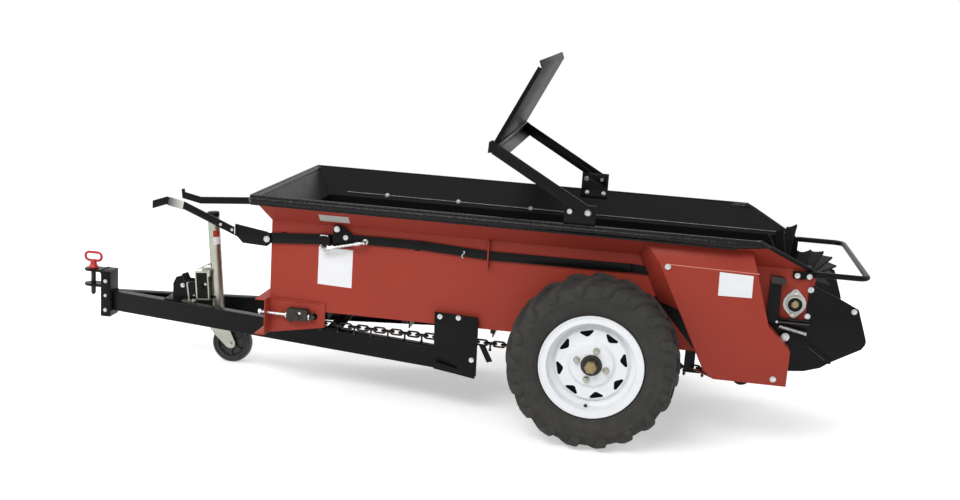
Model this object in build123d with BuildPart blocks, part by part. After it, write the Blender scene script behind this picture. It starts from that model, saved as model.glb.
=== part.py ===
from build123d import *
import os
from math import atan2, cos, degrees, hypot, radians, sin

os.makedirs("parts", exist_ok=True)

# Compact ground-drive manure spreader, in millimetres.
# +X points forward to the hitch, +Y to the machine's left, +Z up. The origin is the bottom centre of the
# machine's box: on the ground, midway between the hitch clevis tips and the rear guard plates.

# ---- Driving dimensions ---------------------------------------------------------------------------------
AXLE_X = -566.5           # wheel axle, behind the origin
TYRE_RADIUS = 290.0       # 23 inch lug tyre, standing on the ground
TYRE_HALF_WIDTH = 108.0
WHEEL_Y = 445.0           # centre plane of a wheel
BOX_HALF_WIDTH = 308.0    # outer faces of the upright side walls
BOX_BOTTOM = 319.0
BEND_Z = 634.0            # upright wall below, flare above
RIM_Z = 735.0
RIM_HALF_WIDTH = 413.0
RIM_DEPTH = 35.0
RIM_THICK = 10.0
SHEET = 4.0               # side and front wall sheet
LINER = 3.0
FLOOR_THICK = 10.0
CHAIN_THICK = 10.0
CHAIN_WIDTH = 30.0
CHAIN_Y = 250.0
BEATER_Z = 520.0
BEATER_RADIUS = 188.0
RUNNING_GAP = 0.05        # radial clearance of a shaft in its bearing


def fwd(distance):
    """X of a point given by its distance forward of the axle."""
    return AXLE_X + distance


WALL_FRONT = fwd(1165)    # front edges of the side walls
PANEL_FRONT = fwd(1134)   # outer face of the front wall
RIM_FRONT = fwd(1217)
RIM_REAR = fwd(-504)
WALL_REAR = fwd(-703)
BEATER_X = fwd(-644)
FLARE_SLOPE = (RIM_Z - BEND_Z) / (RIM_HALF_WIDTH - BOX_HALF_WIDTH)
FRONT_SLOPE = (RIM_Z - BEND_Z) / (RIM_FRONT - PANEL_FRONT)
RIM_INSIDE = RIM_HALF_WIDTH - RIM_THICK
FLOOR_TOP = BOX_BOTTOM + SHEET + FLOOR_THICK


def facing_side(y):
    """Plane at this Y whose sketch axes are X and Z. An extrusion runs towards -Y."""
    return Plane.XZ.offset(-y)


def facing_front(x):
    """Plane at this X whose sketch axes are Y and Z. An extrusion runs towards +X."""
    return Plane.YZ.offset(x)


def write(part, name):
    part.label = name
    export_step(part, f"parts/{name}.step")


def write_pair(left_part, name):
    """Writes the left piece and its mirror image on the right."""
    with BuildPart() as right_piece:
        mirror(left_part, about=Plane.XZ)
    write(left_part, f"left_{name}")
    write(right_piece.part, f"right_{name}")


def write_both(left_part, name):
    """Writes the left piece and its mirror image as two separate solids of one node."""
    with BuildPart() as both_sides:
        add(left_part)
        mirror(left_part, about=Plane.XZ)
    write(both_sides.part, name)


# ---- Box: side walls, front wall, lining ----------------------------------------------------------------
# (Y, Z) corners of the flare's inner surface: at the bend and where it meets the rim.
flare_run = hypot(1.0, FLARE_SLOPE)
INNER_Y = BOX_HALF_WIDTH - SHEET
INNER_BEND = BEND_Z + SHEET * (flare_run - FLARE_SLOPE)
INNER_TOP = INNER_BEND + FLARE_SLOPE * (RIM_INSIDE - INNER_Y)
OUTER_TOP = BEND_Z + FLARE_SLOPE * (RIM_INSIDE - BOX_HALF_WIDTH)
SILL_WIDTH = 30.0
REAR_TOP_X = fwd(-683)
REAR_TOP_Z = 640.0

with BuildPart() as side_wall:
    with BuildSketch(facing_front(WALL_REAR)):
        with BuildLine():
            Polyline(
                (BOX_HALF_WIDTH, BOX_BOTTOM),
                (BOX_HALF_WIDTH, BEND_Z),
                (RIM_INSIDE, OUTER_TOP),
                (RIM_INSIDE, INNER_TOP),
                (INNER_Y, INNER_BEND),
                (INNER_Y, BOX_BOTTOM),
                close=True,
            )
        make_face()
    extrude(amount=RIM_FRONT - RIM_THICK - WALL_REAR)
    # Sloped front and rear edges of the flare.
    with BuildSketch(facing_side(RIM_HALF_WIDTH)):
        with BuildLine():
            Polyline(
                (WALL_REAR, BOX_BOTTOM),
                (WALL_REAR, REAR_TOP_Z - 22),
                (REAR_TOP_X, REAR_TOP_Z),
                (RIM_REAR, RIM_Z),
                (RIM_FRONT, RIM_Z),
                (WALL_FRONT, BEND_Z),
                (WALL_FRONT, BOX_BOTTOM),
                close=True,
            )
        make_face()
    extrude(amount=2 * RIM_HALF_WIDTH, mode=Mode.INTERSECT)
    # Sill folded inwards under the floor board.
    sill_front = fwd(1130)
    sill_rear = fwd(-520)
    with Locations(((sill_front + sill_rear) / 2, INNER_Y - SILL_WIDTH / 2, BOX_BOTTOM + SHEET / 2)):
        Box(sill_front - sill_rear, SILL_WIDTH, SHEET)
    # Shaft hole for the beater.
    with BuildSketch(facing_side(BOX_HALF_WIDTH)):
        with Locations((BEATER_X, BEATER_Z)):
            Circle(18)
    extrude(amount=SHEET, mode=Mode.SUBTRACT)
write_pair(side_wall.part, "side_wall")

front_run = hypot(1.0, FRONT_SLOPE)
PANEL_INSIDE = PANEL_FRONT - SHEET
PANEL_BEND = BEND_Z + SHEET * (front_run - FRONT_SLOPE)
RIM_FRONT_INSIDE = RIM_FRONT - RIM_THICK
PANEL_TOP_OUT = BEND_Z + FRONT_SLOPE * (RIM_FRONT_INSIDE - PANEL_FRONT)
PANEL_TOP_IN = PANEL_BEND + FRONT_SLOPE * (RIM_FRONT_INSIDE - PANEL_INSIDE)

with BuildPart() as front_wall:
    with BuildSketch(facing_side(RIM_HALF_WIDTH)):
        with BuildLine():
            Polyline(
                (PANEL_FRONT, BOX_BOTTOM),
                (PANEL_FRONT, BEND_Z),
                (RIM_FRONT_INSIDE, PANEL_TOP_OUT),
                (RIM_FRONT_INSIDE, PANEL_TOP_IN),
                (PANEL_INSIDE, PANEL_BEND),
                (PANEL_INSIDE, BOX_BOTTOM),
                close=True,
            )
        make_face()
    extrude(amount=2 * RIM_HALF_WIDTH)
    # Trimmed to the space between the side walls.
    with BuildSketch(facing_front(PANEL_INSIDE)):
        with BuildLine():
            Polyline(
                (INNER_Y, BOX_BOTTOM),
                (INNER_Y, INNER_BEND),
                (RIM_INSIDE, INNER_TOP),
                (-RIM_INSIDE, INNER_TOP),
                (-INNER_Y, INNER_BEND),
                (-INNER_Y, BOX_BOTTOM),
                close=True,
            )
        make_face()
    extrude(amount=RIM_FRONT - PANEL_INSIDE, mode=Mode.INTERSECT)
write(front_wall.part, "front_wall")

LINER_TOP_Y = RIM_INSIDE - 2
LINER_REAR = fwd(-690)

with BuildPart() as side_liner:
    liner_top = INNER_BEND + FLARE_SLOPE * (LINER_TOP_Y - INNER_Y)
    liner_bend = INNER_BEND + LINER * (flare_run - FLARE_SLOPE)
    with BuildSketch(facing_front(LINER_REAR)):
        with BuildLine():
            Polyline(
                (INNER_Y, FLOOR_TOP),
                (INNER_Y, INNER_BEND),
                (LINER_TOP_Y, liner_top),
                (LINER_TOP_Y, liner_top + LINER * flare_run),
                (INNER_Y - LINER, liner_bend),
                (INNER_Y - LINER, FLOOR_TOP),
                close=True,
            )
        make_face()
    extrude(amount=RIM_FRONT - LINER_REAR)
    # Ends at the front wall's inner surface and at the sloped rear edge.
    with BuildSketch(facing_side(RIM_HALF_WIDTH)):
        with BuildLine():
            Polyline(
                (LINER_REAR, FLOOR_TOP),
                (LINER_REAR, REAR_TOP_Z - 22),
                (REAR_TOP_X, REAR_TOP_Z - 4),
                (RIM_REAR, RIM_Z - 4),
                (RIM_FRONT_INSIDE, RIM_Z - 4),
                (RIM_FRONT_INSIDE, PANEL_TOP_IN),
                (PANEL_INSIDE, PANEL_BEND),
                (PANEL_INSIDE, FLOOR_TOP),
                close=True,
            )
        make_face()
    extrude(amount=2 * RIM_HALF_WIDTH, mode=Mode.INTERSECT)
    with BuildSketch(facing_side(BOX_HALF_WIDTH)):
        with Locations((BEATER_X, BEATER_Z)):
            Circle(18)
    extrude(amount=2 * SHEET, mode=Mode.SUBTRACT)

with BuildPart() as front_liner:
    liner_face = PANEL_INSIDE - LINER
    face_bend = PANEL_BEND + LINER * (front_run - FRONT_SLOPE)
    face_top_x = RIM_FRONT_INSIDE - 2
    back_top = PANEL_BEND + FRONT_SLOPE * (face_top_x - PANEL_INSIDE)
    with BuildSketch(facing_side(RIM_HALF_WIDTH)):
        with BuildLine():
            Polyline(
                (PANEL_INSIDE, FLOOR_TOP),
                (PANEL_INSIDE, PANEL_BEND),
                (face_top_x, back_top),
                (face_top_x, back_top + LINER * front_run),
                (liner_face, face_bend),
                (liner_face, FLOOR_TOP),
                close=True,
            )
        make_face()
    extrude(amount=2 * RIM_HALF_WIDTH)
    # Trimmed to the space between the side linings.
    side_face = INNER_Y - LINER
    side_bend = INNER_BEND + LINER * (flare_run - FLARE_SLOPE)
    side_top = side_bend + FLARE_SLOPE * (LINER_TOP_Y - side_face)
    with BuildSketch(facing_front(liner_face)):
        with BuildLine():
            Polyline(
                (side_face, FLOOR_TOP),
                (side_face, side_bend),
                (LINER_TOP_Y, side_top),
                (-LINER_TOP_Y, side_top),
                (-side_face, side_bend),
                (-side_face, FLOOR_TOP),
                close=True,
            )
        make_face()
    extrude(amount=RIM_FRONT - liner_face, mode=Mode.INTERSECT)

with BuildPart() as poly_liner:
    add(front_liner.part)
    add(side_liner.part)
    mirror(side_liner.part, about=Plane.XZ)
write(poly_liner.part, "poly_liner")

# ---- Rolled rim -----------------------------------------------------------------------------------------
CORNER = 30.0             # length of the side legs carried by the front rail
RIM_BOTTOM = RIM_Z - RIM_DEPTH
ROLL = 4.5                # rounding of the rolled top

with BuildPart() as side_rail:
    # Narrows from below towards its rear end, and follows the sloped edge of the flare down to a point.
    with BuildSketch(facing_side(RIM_HALF_WIDTH)):
        with BuildLine():
            Polyline(
                (RIM_FRONT - CORNER, RIM_BOTTOM),
                (RIM_FRONT - CORNER, RIM_Z),
                (RIM_REAR, RIM_Z),
                (fwd(-538), 718),
                (fwd(-534), 714.5),
                (fwd(-462), 710),
                (fwd(-420), RIM_BOTTOM),
                close=True,
            )
        make_face()
    extrude(amount=RIM_THICK)
    fillet(side_rail.edges().filter_by(Axis.X).group_by(Axis.Z)[-1], radius=ROLL)
write_both(side_rail.part, "rim_rails")

with BuildPart() as front_rail:
    with BuildSketch(Plane.XY.offset(RIM_BOTTOM)):
        with BuildLine():
            Polyline(
                (RIM_FRONT - CORNER, RIM_HALF_WIDTH),
                (RIM_FRONT, RIM_HALF_WIDTH),
                (RIM_FRONT, -RIM_HALF_WIDTH),
                (RIM_FRONT - CORNER, -RIM_HALF_WIDTH),
                (RIM_FRONT - CORNER, -RIM_INSIDE),
                (RIM_FRONT_INSIDE, -RIM_INSIDE),
                (RIM_FRONT_INSIDE, RIM_INSIDE),
                (RIM_FRONT - CORNER, RIM_INSIDE),
                close=True,
            )
        make_face()
    extrude(amount=RIM_DEPTH)
    fillet(front_rail.edges().filter_by(Axis.Z).group_by(Axis.X)[-1], radius=14)
    fillet(front_rail.faces().sort_by(Axis.Z)[-1].outer_wire().edges().filter_by(Axis.Y), radius=ROLL)
write(front_rail.part, "front_rim_rail")

# ---- Floor ----------------------------------------------------------------------------------------------
with BuildPart() as floor_board:
    # Ends short of the sprockets, where the slats turn down under it.
    floor_rear = fwd(-422)
    floor_front = fwd(1010)
    with Locations(((floor_rear + floor_front) / 2, 0, BOX_BOTTOM + SHEET + FLOOR_THICK / 2)):
        Box(floor_front - floor_rear, 2 * INNER_Y - 1, FLOOR_THICK)
write(floor_board.part, "floor_board")

BEARER_LEG = 40.0
BEARER_HALF = INNER_Y - SILL_WIDTH - 0.5

with BuildPart() as floor_bearers:
    # Angles across the box between the sills, under the floor board.
    for forward in (960, 660, 360, 100, -160, -420):
        with BuildSketch(facing_side(BEARER_HALF)):
            with BuildLine():
                Polyline(
                    (fwd(forward), BOX_BOTTOM + SHEET),
                    (fwd(forward) + BEARER_LEG, BOX_BOTTOM + SHEET),
                    (fwd(forward) + BEARER_LEG, BOX_BOTTOM),
                    (fwd(forward) + SHEET, BOX_BOTTOM),
                    (fwd(forward) + SHEET, BOX_BOTTOM + SHEET - BEARER_LEG),
                    (fwd(forward), BOX_BOTTOM + SHEET - BEARER_LEG),
                    close=True,
                )
            make_face()
        extrude(amount=2 * BEARER_HALF)
write(floor_bearers.part, "floor_bearers")

# ---- Tongue ---------------------------------------------------------------------------------------------
BEAM_DEPTH = 76.0
BEAM_FLANGE = 38.0
BEAM_WALL = 5.0
BEAM_BOTTOM = 158.0
BEAM_TOP = BEAM_BOTTOM + BEAM_DEPTH
POST_REAR = fwd(1897)
BEAM_REAR = fwd(470)
BEAM_FRONT_Y = 24.0       # outer face of the channel where it meets the hitch post
BEAM_REAR_Y = 325.0
beam_angle = degrees(atan2(BEAM_REAR_Y - BEAM_FRONT_Y, POST_REAR - BEAM_REAR))


def beam_outer_y(x):
    """Outer face of the left tongue channel at this X."""
    return BEAM_FRONT_Y + (POST_REAR - x) * (BEAM_REAR_Y - BEAM_FRONT_Y) / (POST_REAR - BEAM_REAR)


with BuildPart() as tongue_beam:
    beam_length = hypot(POST_REAR - BEAM_REAR, BEAM_REAR_Y - BEAM_FRONT_Y) + 80
    # Across the channel, at its front end, looking back along it.
    beam_plane = Plane(
        origin=(POST_REAR, BEAM_FRONT_Y, BEAM_BOTTOM),
        x_dir=(sin(radians(beam_angle)), cos(radians(beam_angle)), 0),
        z_dir=(cos(radians(beam_angle)), -sin(radians(beam_angle)), 0),
    )
    with BuildSketch(beam_plane.offset(20)):
        with BuildLine():
            Polyline(
                (0, 0),
                (0, BEAM_DEPTH),
                (-BEAM_FLANGE, BEAM_DEPTH),
                (-BEAM_FLANGE, BEAM_DEPTH - BEAM_WALL),
                (-BEAM_WALL, BEAM_DEPTH - BEAM_WALL),
                (-BEAM_WALL, BEAM_WALL),
                (-BEAM_FLANGE, BEAM_WALL),
                (-BEAM_FLANGE, 0),
                close=True,
            )
        make_face()
    extrude(amount=-beam_length)
    # Mitred on the centre line, at the post and at the frame bracket.
    with BuildSketch(Plane.XY.offset(BEAM_BOTTOM)):
        with BuildLine():
            Polyline(
                (POST_REAR, 0.25),
                (POST_REAR, RIM_HALF_WIDTH),
                (BEAM_REAR, RIM_HALF_WIDTH),
                (BEAM_REAR, 0.25),
                close=True,
            )
        make_face()
    extrude(amount=BEAM_DEPTH, mode=Mode.INTERSECT)
    fillet(tongue_beam.edges().filter_by(lambda e: e.length > 1400).group_by(Axis.Y)[-1], radius=4)
write_pair(tongue_beam.part, "tongue_beam")

with BuildPart() as frame_bracket:
    bracket_inner_y = BEAM_REAR_Y + 1.0
    bracket_thick = 8.0
    # Side plate from the side wall down to the end of the tongue channel.
    with BuildSketch(facing_side(bracket_inner_y + bracket_thick)):
        with BuildLine():
            Polyline(
                (fwd(563), 369),
                (fwd(408), 363),
                (fwd(404), 152),
                (fwd(424), 152),
                (fwd(558), 228),
                close=True,
            )
        make_face()
    extrude(amount=bracket_thick)
    # Packer between the plate and the side wall.
    with Locations((fwd(510), (BOX_HALF_WIDTH + bracket_inner_y) / 2, 345)):
        Box(90, bracket_inner_y - BOX_HALF_WIDTH, 26)
write_both(frame_bracket.part, "frame_brackets")

CROSS_REAR = WALL_FRONT
CROSS_SHEET = 4.0
CROSS_HALF = 358.0
CROSS_TOP = 356.0
CROSS_BOTTOM = 226.0
CROSS_FLANGE = 38.0
notch_y = beam_outer_y(CROSS_REAR) + 4

with BuildPart() as cross_channel:
    # Web, cut away over the two tongue channels.
    with BuildSketch(facing_front(CROSS_REAR)):
        with BuildLine():
            Polyline(
                (CROSS_HALF, CROSS_TOP),
                (-CROSS_HALF, CROSS_TOP),
                (-CROSS_HALF, CROSS_BOTTOM),
                (-notch_y, CROSS_BOTTOM),
                (-notch_y, BEAM_TOP),
                (notch_y, BEAM_TOP),
                (notch_y, CROSS_BOTTOM),
                (CROSS_HALF, CROSS_BOTTOM),
                close=True,
            )
        make_face()
    extrude(amount=CROSS_SHEET)
    # (centre Y, width, bottom Z) of the three flanges that stand forward from the web.
    leg = CROSS_HALF - notch_y
    for centre_y, width, bottom_z in (
        (0, 2 * CROSS_HALF, CROSS_TOP - CROSS_SHEET),
        (CROSS_HALF - leg / 2, leg, CROSS_BOTTOM),
        (leg / 2 - CROSS_HALF, leg, CROSS_BOTTOM),
    ):
        with Locations((CROSS_REAR + CROSS_FLANGE / 2, centre_y, bottom_z + CROSS_SHEET / 2)):
            Box(CROSS_FLANGE, width, CROSS_SHEET)
write(cross_channel.part, "front_cross_channel")

IDLER_X = fwd(1056)
IDLER_Z = 300.0
CHEEK_SHEET = 6.0
SLOT_RADIUS = 13.0

with BuildPart() as cheek_plate:
    with BuildSketch(facing_side(BOX_HALF_WIDTH + CHEEK_SHEET)):
        with BuildLine():
            Polyline(
                (CROSS_REAR, 352),
                (fwd(960), 352),
                (fwd(960), 263),
                (CROSS_REAR, CROSS_BOTTOM),
                close=True,
            )
        make_face()
        # Slot in which the idler shaft moves when the chain is tightened.
        with Locations((IDLER_X - 14, IDLER_Z)):
            SlotOverall(110, 2 * SLOT_RADIUS, mode=Mode.SUBTRACT)
    extrude(amount=CHEEK_SHEET)
write_both(cheek_plate.part, "cheek_plates")

POST_HALF = 38.0
POST_DEPTH = 38.0
POST_WALL = 6.0
POST_BOTTOM = 134.0
POST_TOP = 314.0

with BuildPart() as hitch_post:
    with BuildSketch(Plane.XY.offset(POST_BOTTOM)):
        with BuildLine():
            Polyline(
                (POST_REAR, -POST_HALF),
                (POST_REAR + POST_DEPTH, -POST_HALF),
                (POST_REAR + POST_DEPTH, POST_WALL - POST_HALF),
                (POST_REAR + POST_WALL, POST_WALL - POST_HALF),
                (POST_REAR + POST_WALL, POST_HALF - POST_WALL),
                (POST_REAR + POST_DEPTH, POST_HALF - POST_WALL),
                (POST_REAR + POST_DEPTH, POST_HALF),
                (POST_REAR, POST_HALF),
                close=True,
            )
        make_face()
    extrude(amount=POST_TOP - POST_BOTTOM)
    fillet(hitch_post.edges().filter_by(Axis.Z).group_by(Axis.X)[0], radius=5)
write(hitch_post.part, "hitch_post")

PIN_X = fwd(1983)
PIN_RADIUS = 9.5
PIN_PLAY = 0.6
CLEVIS_TIP = fwd(2016)
CLEVIS_THICK = 8.0
LOWER_PLATE_TOP = 255.0
CLEVIS_HALF = POST_HALF - POST_WALL - 0.2

with BuildPart() as hitch_clevis:
    # Upper and lower plate, rounded at the tip, on a back plate bolted inside the post.
    for top in (POST_TOP, LOWER_PLATE_TOP):
        with BuildSketch(Plane.XY.offset(top - CLEVIS_THICK)):
            with BuildLine():
                Polyline(
                    (POST_REAR + POST_WALL, -CLEVIS_HALF),
                    (CLEVIS_TIP - CLEVIS_HALF, -CLEVIS_HALF),
                )
                RadiusArc(
                    (CLEVIS_TIP - CLEVIS_HALF, -CLEVIS_HALF),
                    (CLEVIS_TIP - CLEVIS_HALF, CLEVIS_HALF),
                    -CLEVIS_HALF,
                )
                Polyline(
                    (CLEVIS_TIP - CLEVIS_HALF, CLEVIS_HALF),
                    (POST_REAR + POST_WALL, CLEVIS_HALF),
                    (POST_REAR + POST_WALL, -CLEVIS_HALF),
                )
            make_face()
            with Locations((PIN_X, 0)):
                Circle(PIN_RADIUS + PIN_PLAY, mode=Mode.SUBTRACT)
        extrude(amount=CLEVIS_THICK)
    with Locations((POST_REAR + POST_WALL + 3, 0, (POST_BOTTOM + 20 + POST_TOP) / 2)):
        Box(6, 2 * CLEVIS_HALF, POST_TOP - POST_BOTTOM - 20)
write(hitch_clevis.part, "hitch_clevis")

PIN_BOTTOM = 207.0
PIN_TAIL_RADIUS = 9.0     # turned down below the lower plate, where a retaining collar goes on
PIN_TAIL_TOP = LOWER_PLATE_TOP - CLEVIS_THICK - 1
COLLAR_TOP = 336.0
HANDLE_Z = 362.0
HANDLE_HALF = 34.0
HANDLE_ROD = 4.0
HANDLE_BEND = 15.0

with BuildPart() as hitch_pin:
    with BuildSketch(Plane.XY.offset(PIN_BOTTOM)):
        with Locations((PIN_X, 0)):
            Circle(PIN_TAIL_RADIUS)
    extrude(amount=PIN_TAIL_TOP - PIN_BOTTOM)
    chamfer(hitch_pin.edges().sort_by(Axis.Z)[0], length=5)
    with BuildSketch(Plane.XY.offset(PIN_TAIL_TOP)):
        with Locations((PIN_X, 0)):
            Circle(PIN_RADIUS)
    extrude(amount=COLLAR_TOP - PIN_TAIL_TOP)
    # Plastic collar that rests on the upper plate.
    with BuildSketch(Plane.XY.offset(POST_TOP)):
        with Locations((PIN_X, 0)):
            Circle(17)
    extrude(amount=COLLAR_TOP - POST_TOP, taper=-6)
    # Oval ring handle.
    with BuildSketch(facing_side(HANDLE_ROD)):
        with Locations((PIN_X, HANDLE_Z)):
            SlotOverall(2 * HANDLE_HALF + 2 * HANDLE_ROD, 2 * HANDLE_BEND + 2 * HANDLE_ROD)
            SlotOverall(
                2 * HANDLE_HALF - 2 * HANDLE_ROD,
                2 * HANDLE_BEND - 2 * HANDLE_ROD,
                mode=Mode.SUBTRACT,
            )
    extrude(amount=2 * HANDLE_ROD)
    # Neck between the collar and the ring.
    with Locations((PIN_X, 0, (COLLAR_TOP + HANDLE_Z - HANDLE_BEND) / 2)):
        Box(24, 2 * HANDLE_ROD, HANDLE_Z - HANDLE_BEND - COLLAR_TOP + 4)
write(hitch_pin.part, "hitch_pin")

# ---- Running gear ---------------------------------------------------------------------------------------
AXLE_RADIUS = 16.0
HUB_OUTER = 548.0
HUB_INNER = 404.0
DISC_Y = 500.0

with BuildPart() as axle:
    with BuildSketch(facing_side(HUB_OUTER - 18)):
        with Locations((AXLE_X, TYRE_RADIUS)):
            Circle(AXLE_RADIUS)
    extrude(amount=2 * (HUB_OUTER - 18))
write(axle.part, "axle")

HANGER_INNER = 272.0
HANGER_OUTER = 300.0

with BuildPart() as axle_hanger:
    # Pillow block bolted up under the sill.
    with BuildSketch(facing_side(HANGER_OUTER)):
        with Locations((AXLE_X, TYRE_RADIUS)):
            Circle(28)
        with Locations((AXLE_X, (BOX_BOTTOM + TYRE_RADIUS) / 2)):
            Rectangle(56, BOX_BOTTOM - TYRE_RADIUS)
        with Locations((AXLE_X, BOX_BOTTOM - 7)):
            Rectangle(150, 14)
        with Locations((AXLE_X, TYRE_RADIUS)):
            Circle(AXLE_RADIUS + RUNNING_GAP, mode=Mode.SUBTRACT)
    extrude(amount=HANGER_OUTER - HANGER_INNER)
write_both(axle_hanger.part, "axle_hangers")

BEAD_RADIUS = 152.0
RIM_FLANGE_RADIUS = 173.0
RIM_HALF = 90.0           # half the width between the flanges' outer faces
WELL_RADIUS = 128.0
RIM_SHEET = 4.0
HUB_BORE_PILOT = 35.0
RIM_LIP = 8.0
CHAMBER_MOUTH = 64.0      # half the gap between the beads
CHAMBER_WAIST = 188.0     # radius where the beads run into the sidewalls
CHAMBER_HALF = 97.0
CHAMBER_SHOULDER = 262.0

with BuildPart() as tyre:
    # Section through the tyre on one side of the axle: (Y, radius).
    with BuildSketch(Plane.XY):
        with BuildLine():
            Polyline(
                (-(RIM_HALF - RIM_LIP), BEAD_RADIUS),
                (-(RIM_HALF - RIM_LIP), RIM_FLANGE_RADIUS + 2),
            )
            TangentArc(
                (-TYRE_HALF_WIDTH, 222),
                (-(RIM_HALF - RIM_LIP), RIM_FLANGE_RADIUS + 2),
                tangent=(0, -1),
            )
            TangentArc((-TYRE_HALF_WIDTH, 222), (-TYRE_HALF_WIDTH + 6, 258), tangent=(0, 1))
            ThreePointArc(
                (-TYRE_HALF_WIDTH + 6, 258),
                (-TYRE_HALF_WIDTH + 14, 275),
                (-TYRE_HALF_WIDTH + 30, 283),
            )
            ThreePointArc(
                (-TYRE_HALF_WIDTH + 30, 283),
                (0, TYRE_RADIUS),
                (TYRE_HALF_WIDTH - 30, 283),
            )
            ThreePointArc(
                (TYRE_HALF_WIDTH - 30, 283),
                (TYRE_HALF_WIDTH - 14, 275),
                (TYRE_HALF_WIDTH - 6, 258),
            )
            TangentArc((TYRE_HALF_WIDTH, 222), (TYRE_HALF_WIDTH - 6, 258), tangent=(0, 1))
            TangentArc(
                (TYRE_HALF_WIDTH, 222),
                (RIM_HALF - RIM_LIP, RIM_FLANGE_RADIUS + 2),
                tangent=(0, -1),
            )
            Polyline(
                (RIM_HALF - RIM_LIP, RIM_FLANGE_RADIUS + 2),
                (RIM_HALF - RIM_LIP, BEAD_RADIUS),
                (-(RIM_HALF - RIM_LIP), BEAD_RADIUS),
            )
        make_face()
    revolve(axis=Axis.X, revolution_arc=360)
    # Air chamber, open to the rim's well between the beads.
    with BuildSketch(Plane.XY):
        with BuildLine():
            Polyline(
                (-CHAMBER_MOUTH, CHAMBER_WAIST),
                (-CHAMBER_MOUTH, BEAD_RADIUS - 1),
                (CHAMBER_MOUTH, BEAD_RADIUS - 1),
                (CHAMBER_MOUTH, CHAMBER_WAIST),
            )
            ThreePointArc(
                (CHAMBER_MOUTH, CHAMBER_WAIST), (CHAMBER_HALF, 226), (CHAMBER_HALF - 16, CHAMBER_SHOULDER)
            )
            ThreePointArc(
                (CHAMBER_HALF - 16, CHAMBER_SHOULDER), (0, 270), (16 - CHAMBER_HALF, CHAMBER_SHOULDER)
            )
            ThreePointArc(
                (16 - CHAMBER_HALF, CHAMBER_SHOULDER), (-CHAMBER_HALF, 226), (-CHAMBER_MOUTH, CHAMBER_WAIST)
            )
        make_face()
    revolve(axis=Axis.X, revolution_arc=360, mode=Mode.SUBTRACT)

# The section above turns about X, so the wheel is stood on its axle before it is written.
WHEEL_TURN = Rotation(0, 0, 90)

with BuildPart() as left_tyre:
    add(Pos(AXLE_X, WHEEL_Y, TYRE_RADIUS) * WHEEL_TURN * tyre.part)
write_pair(left_tyre.part, "tyre")

with BuildPart() as rim_shell:
    with BuildSketch(Plane.XY):
        with BuildLine():
            # Outer side of the pressed rim, from flange to flange, then back along its inner side.
            Polyline(
                (-RIM_HALF, RIM_FLANGE_RADIUS),
                (-(RIM_HALF - RIM_LIP), RIM_FLANGE_RADIUS),
                (-(RIM_HALF - RIM_LIP), BEAD_RADIUS),
                (-26, BEAD_RADIUS - 3),
                (-18, WELL_RADIUS + RIM_SHEET),
                (32, WELL_RADIUS + RIM_SHEET),
                (40, BEAD_RADIUS - 3),
                (RIM_HALF - RIM_LIP, BEAD_RADIUS),
                (RIM_HALF - RIM_LIP, RIM_FLANGE_RADIUS),
                (RIM_HALF, RIM_FLANGE_RADIUS),
                (RIM_HALF, RIM_FLANGE_RADIUS - RIM_SHEET),
                (RIM_HALF - RIM_LIP + RIM_SHEET, RIM_FLANGE_RADIUS - RIM_SHEET),
                (RIM_HALF - RIM_LIP + RIM_SHEET, BEAD_RADIUS - RIM_SHEET),
                (44, BEAD_RADIUS - 3 - RIM_SHEET),
                (36, WELL_RADIUS),
                (-22, WELL_RADIUS),
                (-30, BEAD_RADIUS - 3 - RIM_SHEET),
                (-(RIM_HALF - RIM_LIP + RIM_SHEET), BEAD_RADIUS - RIM_SHEET),
                (-(RIM_HALF - RIM_LIP + RIM_SHEET), RIM_FLANGE_RADIUS - RIM_SHEET),
                (-RIM_HALF, RIM_FLANGE_RADIUS - RIM_SHEET),
                close=True,
            )
        make_face()
    revolve(axis=Axis.X, revolution_arc=360)
    # Disc across the well, with a raised centre.
    disc_x = DISC_Y - WHEEL_Y
    with BuildSketch(Plane.XY):
        with BuildLine():
            Polyline(
                (disc_x - 38, WELL_RADIUS + 0.5),
                (disc_x - 18, WELL_RADIUS + 0.5),
                (disc_x - 4, 118),
                (disc_x - 4, 80),
                (disc_x + 6, 70),
                (disc_x + 6, HUB_BORE_PILOT),
                (disc_x + 2, HUB_BORE_PILOT),
                (disc_x + 2, 68),
                (disc_x - 8, 78),
                (disc_x - 8, 116),
                (disc_x - 20, WELL_RADIUS - RIM_SHEET),
                (disc_x - 38, WELL_RADIUS - RIM_SHEET),
                close=True,
            )
        make_face()
    revolve(axis=Axis.X, revolution_arc=360)
    # Windows around the disc, wider at their outer edge.
    with BuildSketch(Plane.YZ.offset(disc_x - 40)) as windows:
        with PolarLocations(96, 8, start_angle=12.7):
            Polygon((20, -33), (20, 33), (-1, 4), (-1, -4), align=None)
        fillet(windows.vertices(), radius=5)
    extrude(amount=38, mode=Mode.SUBTRACT)

with BuildPart() as left_rim:
    add(Pos(AXLE_X, WHEEL_Y, TYRE_RADIUS) * WHEEL_TURN * rim_shell.part)
write_pair(left_rim.part, "wheel_rim")

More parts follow.
